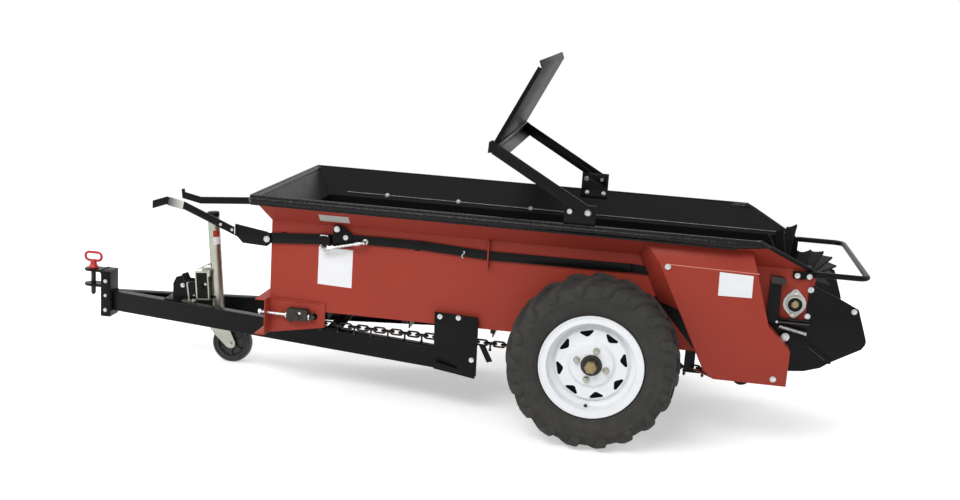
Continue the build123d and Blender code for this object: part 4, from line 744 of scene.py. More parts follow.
# ---- Wheels ---------------------------------------------------------------------------------------------
class MakeTyres(Operator):
    """Lug tyres: a ribbed carcass, and tread bars in two rows that mirror each other"""

    bl_idname = "spreader.make_tyres"
    bl_label = "Make Tyres"

    def execute(self, context):
        tree = self.lug_tree()
        for side in ("left", "right"):
            node = f"{side}_tyre"
            centre = middle(node)
            low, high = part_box(node)
            radius = (high[2] - low[2]) / 2
            half = (high[1] - low[1]) / 2
            tread = radius - sizes().lug_height
            carcass = self.carcass(centre, tread)
            lugs = grow(
                f"{side}_tread_bars", self.lug(radius, tread, half), tree,
                {"Material": material("tyre rubber"), "Count": sizes().lug_count, "Wheel Centre": centre},
            )
            bm = bmesh.new()
            bm.from_mesh(carcass)
            bm.from_mesh(lugs.data)
            bpy.data.objects.remove(lugs)
            mesh = kept_mesh(bm, f"{side}_lug_tyre")
            shade_smooth(mesh, 38)
            piece = new_object(f"{side}_lug_tyre", mesh)
            dress(piece, "tyre rubber", f"{side}_wheel", [node])
        return {"FINISHED"}

    def carcass(self, centre, tread):
        """The casing, turned from its section."""
        # From one bead over the wall to the middle of the tread: (offset, radius) in metres.
        half_side = [
            (-0.0820, 0.1525), (-0.0820, 0.1740), (-0.0850, 0.1785), (-0.0895, 0.1800), (-0.0915, 0.1835),
            (-0.0925, 0.1870), (-0.0960, 0.1885), (-0.0995, 0.1950), (-0.1030, 0.2060), (-0.1042, 0.2180),
            (-0.1038, 0.2300), (-0.1052, 0.2325), (-0.1048, 0.2360), (-0.1020, 0.2400), (-0.0985, 0.2480),
            (-0.0930, 0.2570), (-0.0850, tread - 0.0075), (-0.0700, tread - 0.0035),
            (-0.0400, tread - 0.0010), (0.0, tread),
        ]
        profile = half_side + [(-y, r) for y, r in reversed(half_side[:-1])]
        bm = bmesh.new()
        add_lathe(bm, centre, profile, steps=96)
        return mesh_from(bm, "casing", 50)

    def lug(self, radius, tread, half):
        """One bar of the tread on the +Y side, about the wheel's centre at the origin.
        Stations: (side, turn, root radius, top radius, half width at the root, half width at the top)."""
        stations = [
            (-0.010, -0.020, tread - 0.002, radius - 0.0005, 0.0150, 0.0085),
            (0.006, 0.010, tread - 0.002, radius - 0.0002, 0.0160, 0.0100),
            (0.030, 0.062, tread - 0.003, radius - 0.0010, 0.0165, 0.0105),
            (0.055, 0.120, tread - 0.005, radius - 0.0035, 0.0170, 0.0112),
            (0.078, 0.176, tread - 0.009, radius - 0.0075, 0.0178, 0.0122),
            (0.094, 0.214, tread - 0.016, radius - 0.0140, 0.0186, 0.0132),
            (0.1035, 0.232, 0.250, radius - 0.0250, 0.0190, 0.0140),
            (half - 0.0012, 0.238, 0.240, 0.2530, 0.0180, 0.0140),
            (half - 0.0020, 0.240, 0.232, 0.2400, 0.0150, 0.0120),
        ]
        bm = bmesh.new()
        loops = []
        casing_half = 0.098
        for side, turn, root, top, root_half, top_half in stations:
            # The root lies under the casing, so the bar always meets it.
            inner = min(side, casing_half)
            section = (
                (root, -root_half, inner), (top, -top_half, side),
                (top, top_half, side), (root, root_half, inner),
            )
            loop = []
            for r, wide, y in section:
                angle = turn + wide / r
                loop.append(bm.verts.new((r * sin(angle), y, r * cos(angle))))
            loops.append(loop)
        skin(bm, loops)
        bm.faces.new(loops[0])
        bm.faces.new(list(reversed(loops[-1])))
        bmesh.ops.recalc_face_normals(bm, faces=bm.faces)
        tops = {corner for loop in loops for corner in loop[1:3]}
        ridges = [e for e in bm.edges if tops.issuperset(e.verts)]
        bmesh.ops.bevel(bm, geom=ridges, offset=0.0028, segments=2, affect="EDGES", profile=0.6)
        return mesh_from(bm, "tread bar", 50)

    def lug_tree(self):
        """Copies one bar round the axle on one side, and its mirror image half a step on, on the other."""
        tree, given = new_tree(
            "tread bars",
            [
                ("Count", "NodeSocketInt", 18), ("Wheel Centre", "NodeSocketVector", None),
                ("Material", "NodeSocketMaterial", None),
            ],
        )
        bar = given.outputs["Geometry"]
        step = tree_math(tree, "DIVIDE", 2 * pi, given.outputs["Count"])
        half_step = vector(tree, Y=tree_math(tree, "MULTIPLY", step, 0.5))
        mirrored = moved(tree, bar, Scale=(1, -1, 1))
        mirrored = place_node(tree, "GeometryNodeFlipFaces", {"Mesh": mirrored}).outputs[0]
        pair = join(tree, moved(tree, mirrored, Rotation=half_step), bar)
        spots = place_node(
            tree, "GeometryNodePoints",
            {"Count": given.outputs["Count"], "Position": given.outputs["Wheel Centre"]},
        ).outputs[0]
        index = place_node(tree, "GeometryNodeInputIndex").outputs[0]
        spin = vector(tree, Y=tree_math(tree, "MULTIPLY", index, step))
        close_tree(tree, given, copy_to(tree, spots, pair, Rotation=spin))
        return tree


# ---- Apron chain ----------------------------------------------------------------------------------------
class MakeChains(Operator):
    """Welded chains of oval links, each turned a quarter from the last, round both sprockets"""

    bl_idname = "spreader.make_chains"
    bl_label = "Make Apron Chains"

    # The middle of the chain from the outer side of its node, and outwards from the shaft.
    inset = 0.015
    above_shaft = 0.0055
    half_turn_steps = 14
    # Links lower than this below the rear shaft are on the return run.
    below_axis = 0.02
    # One link: wire radius, half of its straight part and radius of its ends, and the steps that round them.
    wire = 0.0034
    straight = 0.0125
    bend = 0.0095
    bend_steps = 20
    wire_steps = 7

    def execute(self, context):
        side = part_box("apron_chains")[1][1] - self.inset
        ends = []
        for node, first in (("front_idler_shaft", pi / 2), ("rear_drive_shaft", -pi / 2)):
            low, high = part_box(node)
            ends.append((middle(node), (high[2] - low[2]) / 2 + self.above_shaft, first))
        points, edges = [], []
        for y in (side, -side):
            start = len(points)
            for centre, radius, first in ends:
                for step in range(self.half_turn_steps + 1):
                    angle = first - pi * step / self.half_turn_steps
                    points.append((centre.x + radius * cos(angle), y, centre.z + radius * sin(angle)))
            count = len(points) - start
            edges += [(start + i, start + (i + 1) % count) for i in range(count)]
        path = bpy.data.meshes.new("chain path")
        path.from_pydata(points, edges, [])
        link = new_object("one link", self.link())
        return_top = middle("rear_drive_shaft").z - self.below_axis
        grow_piece(
            "apron_link_chain", path, self.chain_tree(),
            {"Pitch": sizes().link_pitch, "Link": link, "Return Run Top": return_top},
            "chassis", "cast iron", 60, ["apron_chains"],
        )
        bpy.data.objects.remove(link)
        return {"FINISHED"}

    def link(self):
        """An oval ring of round wire, long in X and flat in Z."""
        bm = bmesh.new()
        loops = []
        round_wire = [2 * pi * k / self.wire_steps for k in range(self.wire_steps)]
        for step in range(self.bend_steps):
            turn = 2 * pi * (step + 0.5) / self.bend_steps
            shift = self.straight if cos(turn) > 0 else -self.straight
            centre = Vector((shift + self.bend * cos(turn), self.bend * sin(turn), 0))
            out = Vector((cos(turn), sin(turn), 0))
            loops.append(
                corners(
                    bm,
                    [centre + self.wire * (out * cos(t) + Vector((0, 0, sin(t)))) for t in round_wire],
                )
            )
        skin(bm, loops, closed=True)
        return mesh_from(bm, "link", 60)

    def chain_tree(self):
        """Links along the path, and a pin hanging from every second one on the return run."""
        tree, given = new_tree(
            "oval link chain",
            [
                ("Pitch", "NodeSocketFloat", 0.031), ("Link", "NodeSocketObject", None),
                ("Return Run Top", "NodeSocketFloat", 0.27), ("Material", "NodeSocketMaterial", None),
            ],
        )
        spots = spots_along(tree, given, given.outputs["Pitch"])
        link = place_node(tree, "GeometryNodeObjectInfo", {"Object": given.outputs["Link"]})
        tangent = place_node(tree, "GeometryNodeInputTangent").outputs[0]
        along = place_node(tree, "FunctionNodeAlignRotationToVector", {"Vector": tangent}, axis="X")
        level = place_node(
            tree, "FunctionNodeAlignRotationToVector", {"Rotation": along.outputs[0], "Vector": (0, 1, 0)},
            axis="Y", pivot_axis="X",
        ).outputs[0]
        odd = tree_math(tree, "MODULO", place_node(tree, "GeometryNodeInputIndex").outputs[0], 2.0)
        quarter = vector(tree, X=tree_math(tree, "MULTIPLY", odd, pi / 2))
        links = copy_to(tree, spots, link.outputs["Geometry"], Rotation=own_turn(tree, level, quarter))
        foot = moved(tree, cylinder(tree, 12, 0.0052, 0.006), Translation=(0, 0, -0.011))
        pin = join(tree, cylinder(tree, 12, 0.0034, 0.022), foot)
        hung = moved(tree, pin, Translation=(0, 0, -0.013))
        place = place_node(tree, "GeometryNodeInputPosition").outputs[0]
        height = place_node(tree, "ShaderNodeSeparateXYZ", {0: place}).outputs["Z"]
        below = tree_math(tree, "LESS_THAN", height, given.outputs["Return Run Top"])
        even = tree_math(tree, "SUBTRACT", 1.0, odd)
        pins = copy_to(tree, spots, hung, Selection=tree_math(tree, "MULTIPLY", below, even))
        close_tree(tree, given, join(tree, pins, links))
        return tree


# ---- Beater paddles -------------------------------------------------------------------------------------
class MakePaddles(Operator):
    """Askew paddles with one raised corner, in rows along the beater, each row turned on from the last"""

    bl_idname = "spreader.make_paddles"
    bl_label = "Make Beater Paddles"

    rows = 6
    blades = 4
    # Degrees: from row to row, of each plate about its own length, and of the first plate from level.
    twist = 18.0
    pitch_angle = 12.0
    first_turn = 8.0
    # Metres: length of all rows, gap between them, reach of a paddle from and to, and its plate.
    drum = 0.584
    gap = 0.001
    root = 0.036
    tip = 0.184
    thick = 0.006
    # Outer edge of a paddle: (share of the fall, share of the width from the middle).
    edge = (
        (1.0, -0.5), (0.93, -0.44), (0.90, -0.36), (0.70, -0.10), (0.42, 0.14), (0.20, 0.31),
        (0.16, 0.36), (0.0, 0.42), (0.02, 0.465), (0.22, 0.5),
    )

    def execute(self, context):
        centre = middle("beater_blades")
        row_length = self.drum / self.rows
        grow_piece(
            "beater_paddles", self.paddle(row_length - self.gap), self.paddle_tree(),
            {
                "Rows": self.rows, "Blades": self.blades, "Row Pitch": row_length,
                "Twist": radians(self.twist), "First Turn": radians(self.first_turn),
                "Start": Vector((centre.x, self.drum / 2 - row_length / 2, centre.z)),
            },
            "beater", "beater black", 30, ["beater_blades"],
        )
        return {"FINISHED"}

    def paddle(self, width):
        """A plate out from the drum along X, its outer edge falling in a hollow from one raised corner."""
        root, thick = self.root, self.thick
        bm = bmesh.new()
        edge = [(self.tip - sizes().paddle_fall * x, width * y) for x, y in self.edge]
        plate(bm, "Z", [(root, -width / 2), *edge, (root, width / 2)], -thick / 2, thick / 2)
        # Clamp plate that holds the paddle to the drum.
        block(bm, (root - 0.004, -0.022, thick / 2), (root + 0.045, 0.022, thick / 2 + 0.005))
        bmesh.ops.recalc_face_normals(bm, faces=bm.faces)
        bmesh.ops.bevel(
            bm, geom=[e for e in bm.edges if e.calc_face_angle(0) > 1.2], offset=0.0008, segments=1,
            affect="EDGES",
        )
        # Each plate stands askew, so that a row throws sideways as well as back.
        askew = Matrix.Rotation(radians(self.pitch_angle), 3, "X")
        bmesh.ops.rotate(bm, cent=(0, 0, 0), matrix=askew, verts=bm.verts)
        return mesh_from(bm, "paddle", 30)

    def paddle_tree(self):
        """Copies one paddle round the drum in each row, and the rows along it."""
        tree, given = new_tree(
            "beater paddles",
            [
                ("Rows", "NodeSocketInt", self.rows), ("Blades", "NodeSocketInt", self.blades),
                ("Row Pitch", "NodeSocketFloat", self.drum / self.rows),
                ("Twist", "NodeSocketFloat", radians(self.twist)),
                ("First Turn", "NodeSocketFloat", radians(self.first_turn)),
                ("Start", "NodeSocketVector", None), ("Material", "NodeSocketMaterial", None),
            ],
        )
        blades = given.outputs["Blades"]
        count = tree_math(tree, "MULTIPLY", given.outputs["Rows"], blades)
        index = place_node(tree, "GeometryNodeInputIndex").outputs[0]
        row = tree_math(tree, "FLOOR", tree_math(tree, "DIVIDE", index, blades))
        blade = tree_math(tree, "MODULO", index, blades)
        back = tree_math(tree, "MULTIPLY", tree_math(tree, "MULTIPLY", row, given.outputs["Row Pitch"]), -1.0)
        place = place_node(
            tree, "ShaderNodeVectorMath", {0: given.outputs["Start"], 1: vector(tree, Y=back)},
            operation="ADD",
        ).outputs[0]
        spots = place_node(tree, "GeometryNodePoints", {"Count": count, "Position": place}).outputs[0]
        turn = tree_math(tree, "MULTIPLY", blade, tree_math(tree, "DIVIDE", 2 * pi, blades))
        turn = tree_math(tree, "ADD", turn, tree_math(tree, "MULTIPLY", row, given.outputs["Twist"]))
        turn = tree_math(tree, "ADD", turn, given.outputs["First Turn"])
        spin = vector(tree, Y=tree_math(tree, "MULTIPLY", turn, -1.0))
        close_tree(tree, given, copy_to(tree, spots, given.outputs["Geometry"], Rotation=spin))
        return tree


# ---- Hitch pin ------------------------------------------------------------------------------------------
class MakeHitchPin(Operator):
    """Drop pin of the hitch: a bent ring handle, a tapered collar and a pointed shank"""

    bl_idname = "spreader.make_hitch_pin"
    bl_label = "Make Hitch Pin"

    def execute(self, context):
        place = (middle("hitch_pin").x - AXLE.x) * MM
        ring = [(place + x, 0, 360 + z) for x, z in ((-33, -16), (33, -16), (33, 16), (-33, 16))]
        bend_rod("hitch_pin_ring", "drawbar_pin", "handle plastic", [(ring, True)], 5, 15.5)
        collar = [(0, 18.4), (3, 19), (6, 18.6), (11, 15), (18, 12.4), (28, 11.8), (33, 9.5)]
        make_piece(
            "hitch_pin_collar", "drawbar_pin", "handle plastic",
            [(turned, (place, 0, 314.3), (0, 0, 1), collar, 40)],
        )
        shank = [(0, 3.2), (1.5, 4.4), (8, 8.9), (106, 9.2), (112, 9.2)]
        make_piece(
            "hitch_pin_shank", "drawbar_pin", "cast iron",
            [(turned, (place, 0, 207.2), (0, 0, 1), shank, 32)], replaces=("hitch_pin",),
        )
        return {"FINISHED"}


# ---- Jack -----------------------------------------------------------------------------------------------
# The jack's own upright: its foot between the tongue beams, leaning back a little.
JACK = Matrix.Translation((1469, 0, 209)) @ Matrix.Rotation(radians(4.7), 4, "Y")


def wrap(radius, start, end, steps=12, thick=0.5):
    """Outline of a thin sheet bent round the upright, between two turns in degrees."""
    turns = [radians(start + (end - start) * k / steps) for k in range(steps + 1)]
    rows = ((radius, turns), (radius - thick, turns[::-1]))
    return [(r * cos(t), r * sin(t)) for r, row in rows for t in row]


class MakeJackTrim(Operator):
    """Cap, labels, channel, pivot discs, latch and the ribbed caster of the jack"""

    bl_idname = "spreader.make_jack_trim"
    bl_label = "Make Jack Trim"

    def execute(self, context):
        self.cap_and_labels()
        self.channel()
        self.pivot()
        self.caster()
        return {"FINISHED"}

    def cap_and_labels(self):
        """Black cap and the two blank labels of the upright."""
        cap = [(356, 22.6), (356.5, 23.3), (371, 23.2), (373.5, 21.5), (374.8, 17), (375, 8)]
        make_piece(
            "jack_cap", "jack_outer", "black enamel",
            [(placed, JACK, (turned, (0, 0, 0), (0, 0, 1), cap, 40))], angle=50,
        )
        for name, finish_name, low, high in (
            ("jack_red_label", "red enamel", 279, 303), ("jack_white_label", "blank label", 250, 278.8),
        ):
            make_piece(
                name, "jack_outer", finish_name,
                [(placed, JACK, (plate, "Z", wrap(23.0, 98, 168), low, high))], edge=0,
            )

    def channel(self):
        """Dark sides, bright top web and latch of the channel about the upright, and a dark band on it."""
        recess = [(1549.5, 345), (1541, 245), (1498, 248), (1506, 349)]
        make_piece(
            "jack_channel_plates", "jack_outer", "black enamel",
            [
                (plate, "Y", recess, 37.0, 38.0),
                (turned, (1478, 0, 250), (0.08, 0, 1), [(0, 23.2), (7, 23.2)], 40),
            ],
            both_sides=True,
        )
        top_web = [(1553, 351), (1553, 355), (1512, 378), (1505.5, 379), (1505.5, 375), (1511, 374)]
        make_piece(
            "jack_channel_web", "jack_outer", "zinc plate",
            [
                (plate, "Y", top_web, -24, 24), (block, (1494, 25, 336), (1502, 39.5, 361)),
                (turned, (1510, 37.9, 304), (0, 1, 0), [(0, 5.4), (1.2, 5.0)], 24),
                (rod, (1498, 33, 349), (1498, 41, 349), 3.5),
            ],
        )

    def pivot(self):
        """Discs and straps on both sides of the pivot that the jack swings on."""
        # The discs are cut off level on top, where the upright lies when it is swung up.
        turns = [radians(a) for a in range(-206, 27, 6)]
        dial = [(1579 + 38 * cos(t), 291 + 38 * sin(t)) for t in turns]
        make_piece(
            "jack_pivot_discs", "chassis", "black enamel", [(plate, "Y", dial, 28.2, 33.3)],
            both_sides=True,
        )
        strap = [(1582, 306), (1589, 301), (1580, 236), (1574, 236), (1583, 299), (1578, 303)]
        make_piece(
            "jack_pivot_straps", "chassis", "zinc plate",
            [(plate, "Y", strap, 32.8, 33.45), (block, (1548, 28, 232), (1640, 58, 236.5))], both_sides=True,
        )

    def caster(self):
        """Outer cheeks of the fork, and the wheel with ribs between its tread and its hub."""
        cheek = [
            (1494, 152), (1416, 152), (1412, 128), (1391, 84), (1391, 68), (1400, 59), (1414, 58), (1426, 64),
            (1474, 108), (1492, 132),
        ]
        make_piece(
            "caster_fork_cheeks", "jack_fork", "zinc plate", [(plate, "Y", cheek, 25.9, 28)],
            both_sides=True,
        )
        low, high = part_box("caster_wheel")
        radius = (high[2] - low[2]) / 2 * MM
        half = (high[1] - low[1]) / 2 * MM
        centre = (middle("caster_wheel") - Vector((AXLE.x, 0, 0))) * MM
        # One half of the section: (share of the half width, share of the radius).
        side = [
            (1.0, 0.10), (1.0, 0.24), (0.86, 0.27), (0.42, 0.30), (0.36, 0.60), (0.62, 0.66), (0.90, 0.70),
            (0.94, 0.76), (0.80, 0.80), (0.82, 0.84), (0.98, 0.87), (0.96, 0.92), (0.80, 0.975), (0.45, 1.0),
        ]
        section = [(half * y, radius * r) for y, r in side]
        section += [(-y, r) for y, r in reversed(section)]
        ribs = [
            (
                placed, Matrix.Translation(centre) @ Matrix.Rotation(radians(30 + 60 * k), 4, "Y"),
                (block, (radius * 0.25, -half * 0.8, -2), (radius * 0.64, half * 0.8, 2)),
            )
            for k in range(6)
        ]
        make_piece(
            "caster_roller", "jack_wheel", "caster rubber",
            [(turned, centre, (0, 1, 0), section, 72, True), *ribs], replaces=("caster_wheel",), edge=0,
        )


# ---- Wheel trim -----------------------------------------------------------------------------------------
class MakeWheelTrim(Operator):
    """Hub ring, greasy axle nut, a dark disc of painted shade behind the rim's windows, lug nuts and valve
    stem of each wheel
    """

    bl_idname = "spreader.make_wheel_trim"
    bl_label = "Make Wheel Trim"

    def execute(self, context):
        for side, way in (("left", 1), ("right", -1)):
            self.trim(side, way)
        return {"FINISHED"}

    def trim(self, side, way):
        """The small parts of one wheel, whose outer side lies this way along Y."""
        out = (0, way, 0)
        body = f"{side}_wheel"

        def along(y, forward=0.0, up=0.0):
            """A place out along the axle, or forward of it and above it."""
            return (forward, way * y, AXLE.z * MM + up)

        ring = [(0, 30), (12, 34), (22, 35.5), (26, 34), (27, 28)]
        nut = [(0, 20.5), (22, 20.5), (26, 18)]
        end = [(0, 12), (10, 12), (12, 10)]
        make_piece(
            f"{side}_hub_ring", body, "cast iron",
            [
                (turned, along(488), out, ring, 48), (turned, along(337), out, [(0, 30), (160, 30)], 32),
                (turned, along(514), out, [(0, 25), (7, 25)], 40),
            ],
            replaces=(f"{side}_wheel_hub",), angle=50,
        )
        make_piece(
            f"{side}_axle_nut", body, "shaft grease",
            [(turned, along(521, 1), out, nut, 6), (turned, along(539), out, end, 32)],
        )
        # Dark disc behind the windows of the rim: painted shade, standing in for the shadowed inside of the
        # rim.
        web = [(0, 62), (0, 124), (3, 124), (3, 62)]
        make_piece(
            f"{side}_wheel_web", body, "beater black",
            [(turned, along(471), out, web, 64, True)],
        )
        nuts = []
        for k in range(4):
            turn = radians(15 + 90 * k)
            place = along(505, 51 * cos(turn), 51 * sin(turn))
            nuts += [
                (turned, place, out, [(0, 10.5), (12, 10.5), (14.5, 8.5)], 6),
                (turned, place, out, [(0, 5), (19, 5), (20, 4)], 16),
                (turned, place, out, [(-4, 13), (2, 12)], 24),
            ]
        make_piece(f"{side}_lug_nuts", body, "zinc plate", nuts)
        stem = [(0, 8), (6, 8), (10, 6), (24, 5), (25, 6.5), (36, 6.5), (38, 5)]
        make_piece(
            f"{side}_valve_stem", body, "caster rubber",
            [(turned, along(468, 8, -148), (0, way, 0.12), stem, 20)],
        )


# ---- Controls -------------------------------------------------------------------------------------------
class MakeControls(Operator):
    """Link rods, strap tails, clips, cotters, guide fins and lever ends of the two hand controls"""

    bl_idname = "spreader.make_controls"
    bl_label = "Make Controls"

    def execute(self, context):
        self.links()
        self.straps()
        self.levers()
        return {"FINISHED"}

    def links(self):
        """Bright link rods from the clips to the rear straps, with their balls, nuts and pins."""
        front, rear = (967, 340, 555), (824, 340, 589)
        link = [
            (rod, front, rear, 4.8), (ball, front, 9), (ball, rear, 8),
            (turned, (952, 340, 558.5), (-1, 0, 0.24), [(0, 7), (22, 6.5), (25, 5)], 6),
            (turned, (838, 340, 585.7), (1, 0, -0.24), [(0, 6.5), (18, 6), (21, 5)], 6),
            (turned, (967, 318, 555), (0, 1, 0), [(0, 11), (4, 11), (4.5, 6), (30, 6), (33, 5)], 24),
            (turned, (824, 316, 589), (0, 1, 0), [(0, 10), (4, 10), (4.5, 5.5), (31, 5.5), (33, 4)], 24),
        ]
        make_piece("control_links", "chassis", "bright zinc", link, both_sides=True, angle=50)

    def straps(self):
        """Tails, clips, cotters and guide fins of the long straps."""
        # Rear end of the strap, in under the drive cover.
        tail = [(-96, 572), (-96, 601.5), (-164, 596), (-164, 570)]
        make_piece(
            "strap_tails", "chassis", "black enamel", [(plate, "Y", tail, 312, 317)],
            both_sides=True,
        )
        make_piece(
            "control_clips", "chassis", "black enamel",
            [
                (block, (952, 317, 562), (983, 331, 603)), (block, (948, 317, 570), (954, 333, 596)),
                (turned, (925, 322, 626), (0, 1, 0), [(0, 13), (5, 13)], 28),
            ],
            both_sides=True,
        )
        spots = ((953, 563), (976, 563), (955, 598), (977, 598))
        edges = [(block, (x, 330.4, z), (x + 6, 332.2, z + 4)) for x, z in spots]
        make_piece(
            "control_clip_edges", "chassis", "bright zinc",
            [*edges, (block, (962, 331, 599), (980, 332, 602))], both_sides=True, edge=0.3,
        )
        cotter = [
            (476, 324, 566), (482, 326, 574), (475, 327, 582), (470, 326, 590), (478, 324, 592),
            (474, 319, 580),
        ]
        bend_rod(
            "strap_cotters", "chassis", "bright zinc", [(cotter, False)], 1.7, 4,
            both_sides=True,
        )
        make_piece(
            "strap_guides", "chassis", "red enamel",
            [
                (block, (388, 308, 537), (393, 329, 563)), (block, (388, 308, 600), (393, 329, 635)),
                (block, (388, 322, 562), (393, 329, 601)),
            ],
            both_sides=True,
        )

    def levers(self):
        """Bright end of the left lever, its sleeve with a painted glare, and the stop on the right one."""
        make_piece(
            "lever_edges", "chassis", "bright zinc",
            [(plate, "Y", [(1292, 573), (1295.5, 575), (1295.5, 609.5), (1292, 609)], 317.6, 330.6)],
        )
        # Sleeve whose light grey end is a painted glare on the lever.
        tilt = Matrix.Translation((1513, 326.2, 664)) @ Matrix.Rotation(radians(-11), 4, "Y")
        make_piece(
            "lever_worn_sleeve", "chassis", "worn grip",
            [(placed, tilt, (block, (-28, -3.6, -14.6), (28, 3.6, 14.6)))],
        )
        make_piece(
            "far_lever_stop", "chassis", "black enamel",
            [(plate, "Y", [(1742, 560), (1756, 561), (1760, 598), (1750, 600)], -334, -323)],
        )


# ---- Chain tensioners -----------------------------------------------------------------------------------
class MakeTensioners(Operator):
    """Take-up blocks of the apron chain, each drawn by a bright screw through the channel"""

    bl_idname = "spreader.make_tensioners"
    bl_label = "Make Tensioners"

    def execute(self, context):
        side = [(1016, 287), (1088, 286), (1092, 294), (1092, 324), (1086, 328), (1020, 328), (1016, 322)]
        body = [
            (plate, "Y", side, 314, 343), (block, (1088, 318, 296), (1100, 334, 312)),
            (rod, (992, 333, 301), (1018, 333, 302), 9), (block, (1076, 314, 277), (1092, 330, 288)),
        ]
        make_piece(
            "tensioner_blocks", "chassis", "cast iron", body, both_sides=True,
            replaces=("chain_tensioners",), edge=1.5,
        )
        back = (-1, 0, 0)
        washer = [(0, 12), (4, 12)]
        screw = [
            (rod, (1090, 334, 303), (1196, 334, 305), 4.8), (turned, (1096, 334, 303), back, washer, 28),
            (turned, (1013, 333, 302), back, washer, 28),
            (turned, (1188, 334, 305), (1, 0, 0), [(0, 9), (8, 9)], 6),
            (turned, (1044, 343, 315), (0, 1, 0), [(0, 5), (1.5, 5), (2, 3)], 20),
        ]
        make_piece("tensioner_screws", "chassis", "bright zinc", screw, both_sides=True)
        return {"FINISHED"}


# ---- Rear and underside ---------------------------------------------------------------------------------
class MakeRearTrim(Operator):
    """Brackets, springs and bearings about the beater, edges of the box, and the small steel under it"""

    bl_idname = "spreader.make_rear_trim"
    bl_label = "Make Rear Trim"

    def execute(self, context):
        self.brackets()
        self.box_edges()
        self.springs()
        self.bearings()
        self.underside()
        return {"FINISHED"}

    def brackets(self):
        """Plates, shelves and round ends that show behind and below the drive covers."""
        steel = [
            (plate, "Y", [(-557, 598), (-594, 596), (-597, 452), (-557, 451)], 318, 330),
            (plate, "Y", [(-660, 421), (-665, 411), (-775, 331), (-783, 334), (-780, 343)], 316, 318.6),
            (block, (-784, 300, 326), (-768, 318, 338)),
            (plate, "Y", [(-560, 463), (-699, 463), (-699, 380), (-640, 345), (-560, 330)], 308.1, 311.5),
            (plate, "Y", [(-703.5, 632), (-689.6, 638), (-689.6, 415), (-703.5, 415)], 299.5, 304.9),
            (turned, (-625, 316, 406), (0, 1, 0), [(0, 10), (11, 10)], 24),
            (turned, (-462, 318, 283), (0, 1, 0), [(0, 33), (10, 33)], 40),
            (turned, (-496, 330, 258), (0, 1, 0), [(0, 31), (8, 31)], 48),
            (plate, "Y", [(-180, 498), (-327, 331), (-450, 331), (-450, 498)], 308.6, 311.4),
            # Lip under the end of the tongue channel.
            (plate, "Y", [(556, 190), (556, 164), (478, 153), (409, 142), (405, 160)], 326.5, 333.6),
        ]
        make_piece(
            "rear_brackets", "chassis", "black enamel", steel, both_sides=True, edge=1.0,
        )
        make_piece(
            "rear_shelves", "chassis", "cast iron",
            [
                (block, (-697, 311, 463), (-596, 345, 468)), (block, (-697, 342, 456), (-596, 345, 468)),
                (plate, "Y", [(-555, 611), (-600, 608), (-606, 603), (-606, 586), (-560, 588)], 318, 345),
            ],
            both_sides=True,
        )

    def box_edges(self):
        """Painted highlights along the bends of the covers and of the lining, beads of the lining, the rolled
        rim, and the shield arms' tabs.
        """
        # A light red rod along the bend of each drive cover: a painted highlight where the crease catches the
        # light.
        make_piece(
            "cover_hems", "chassis", "hem edge",
            [(rod, (-222, 397.2, 629), (-513, 397.2, 625), 1.5)], both_sides=True, edge=0,
        )
        # A light grey rod along the bend of the lining on each side: a painted highlight where the crease
        # catches the light.
        crease = [(1060, 312.5, 652), (-684, 309.5, 649)]
        bend_rod(
            "lining_creases", "chassis", "worn crease", [(crease, False)], 1.3, 0.4,
            both_sides=True, sides=6,
        )
        roll = [(-505, 399, 722), (-436, 405.5, 717.5), (1209.5, 405.5, 717.5)]
        roll += [(x, -y, z) for x, y, z in reversed(roll)]
        bend_rod(
            "rim_roll", "chassis", "rim coating", [(roll, False)], 14, 16, steps=6, sides=24,
        )
        tab = [(404, 946), (402, 983), (391, 990), (361, 973), (350, 954)]
        make_piece(
            "shield_arm_tabs", "top_shield", "black enamel", [(plate, "Y", tab, 404.2, 409.4)],
            both_sides=True,
        )
        bead = [(1204, 402.5, 732.4), (-500, 402.5, 732.4)]
        bend_rod(
            "wall_top_beads", "chassis", "liner poly", [(bead, False)], 3.0, 0.4,
            both_sides=True, sides=8,
        )
        slope = [(-505, 399, 733), (-538, 391, 717), (-685, 311, 640), (-703, 305.5, 617)]
        inner = [(-502, 394, 729), (-536, 385.5, 712), (-684, 304.5, 633), (-699, 302, 612)]
        bend_rod(
            "flare_edge_strips", "chassis", "liner poly", [(slope, False), (inner, False)],
            4.6, 3, both_sides=True, sides=10,
        )

    def springs(self):
        """Close-wound return springs below the bearings."""
        turns, steps, radius = 26, 10, 5.2
        start, run = Vector((-600, 336, 443)), Vector((-91, 0, -18))
        up = Vector((18, 0, -91)).normalized()
        coil = []
        for k in range(turns * steps + 1):
            turn = 2 * pi * k / steps
            out = up * cos(turn) + Vector((0, sin(turn), 0))
            coil.append(start + run * (k / (turns * steps)) + radius * out)
        bend_rod(
            "return_springs", "chassis", "bright zinc", [([tuple(p) for p in coil], False)],
            1.45, 0.4, both_sides=True, steps=1, sides=6,
        )

    def bearings(self):
        """Race and seal of each flange bearing, and the shaft's end with its key."""
        across = (0, 1, 0)
        race = [(0, 24), (0, 28), (4.5, 27.6), (6, 26), (6, 24)]
        seal = [(0, 14), (0, 24.4), (2.6, 24.4), (2.6, 14)]
        make_piece(
            "bearing_races", "chassis", "bearing grey",
            [(turned, (-644, 327.8, 520), across, race, 48, True)], both_sides=True,
        )
        make_piece(
            "bearing_seals", "chassis", "beater black",
            [(turned, (-644, 327.9, 520), across, seal, 48, True)], both_sides=True,
        )
        make_piece(
            "beater_shaft_ends", "beater", "shaft grease",
            [
                (turned, (-644, 333.5, 520), across, [(0, 11.5), (1.5, 11.5), (3, 9.5)], 32),
                (block, (-648, 333.5, 529), (-640, 335, 534)),
            ],
            both_sides=True,
        )

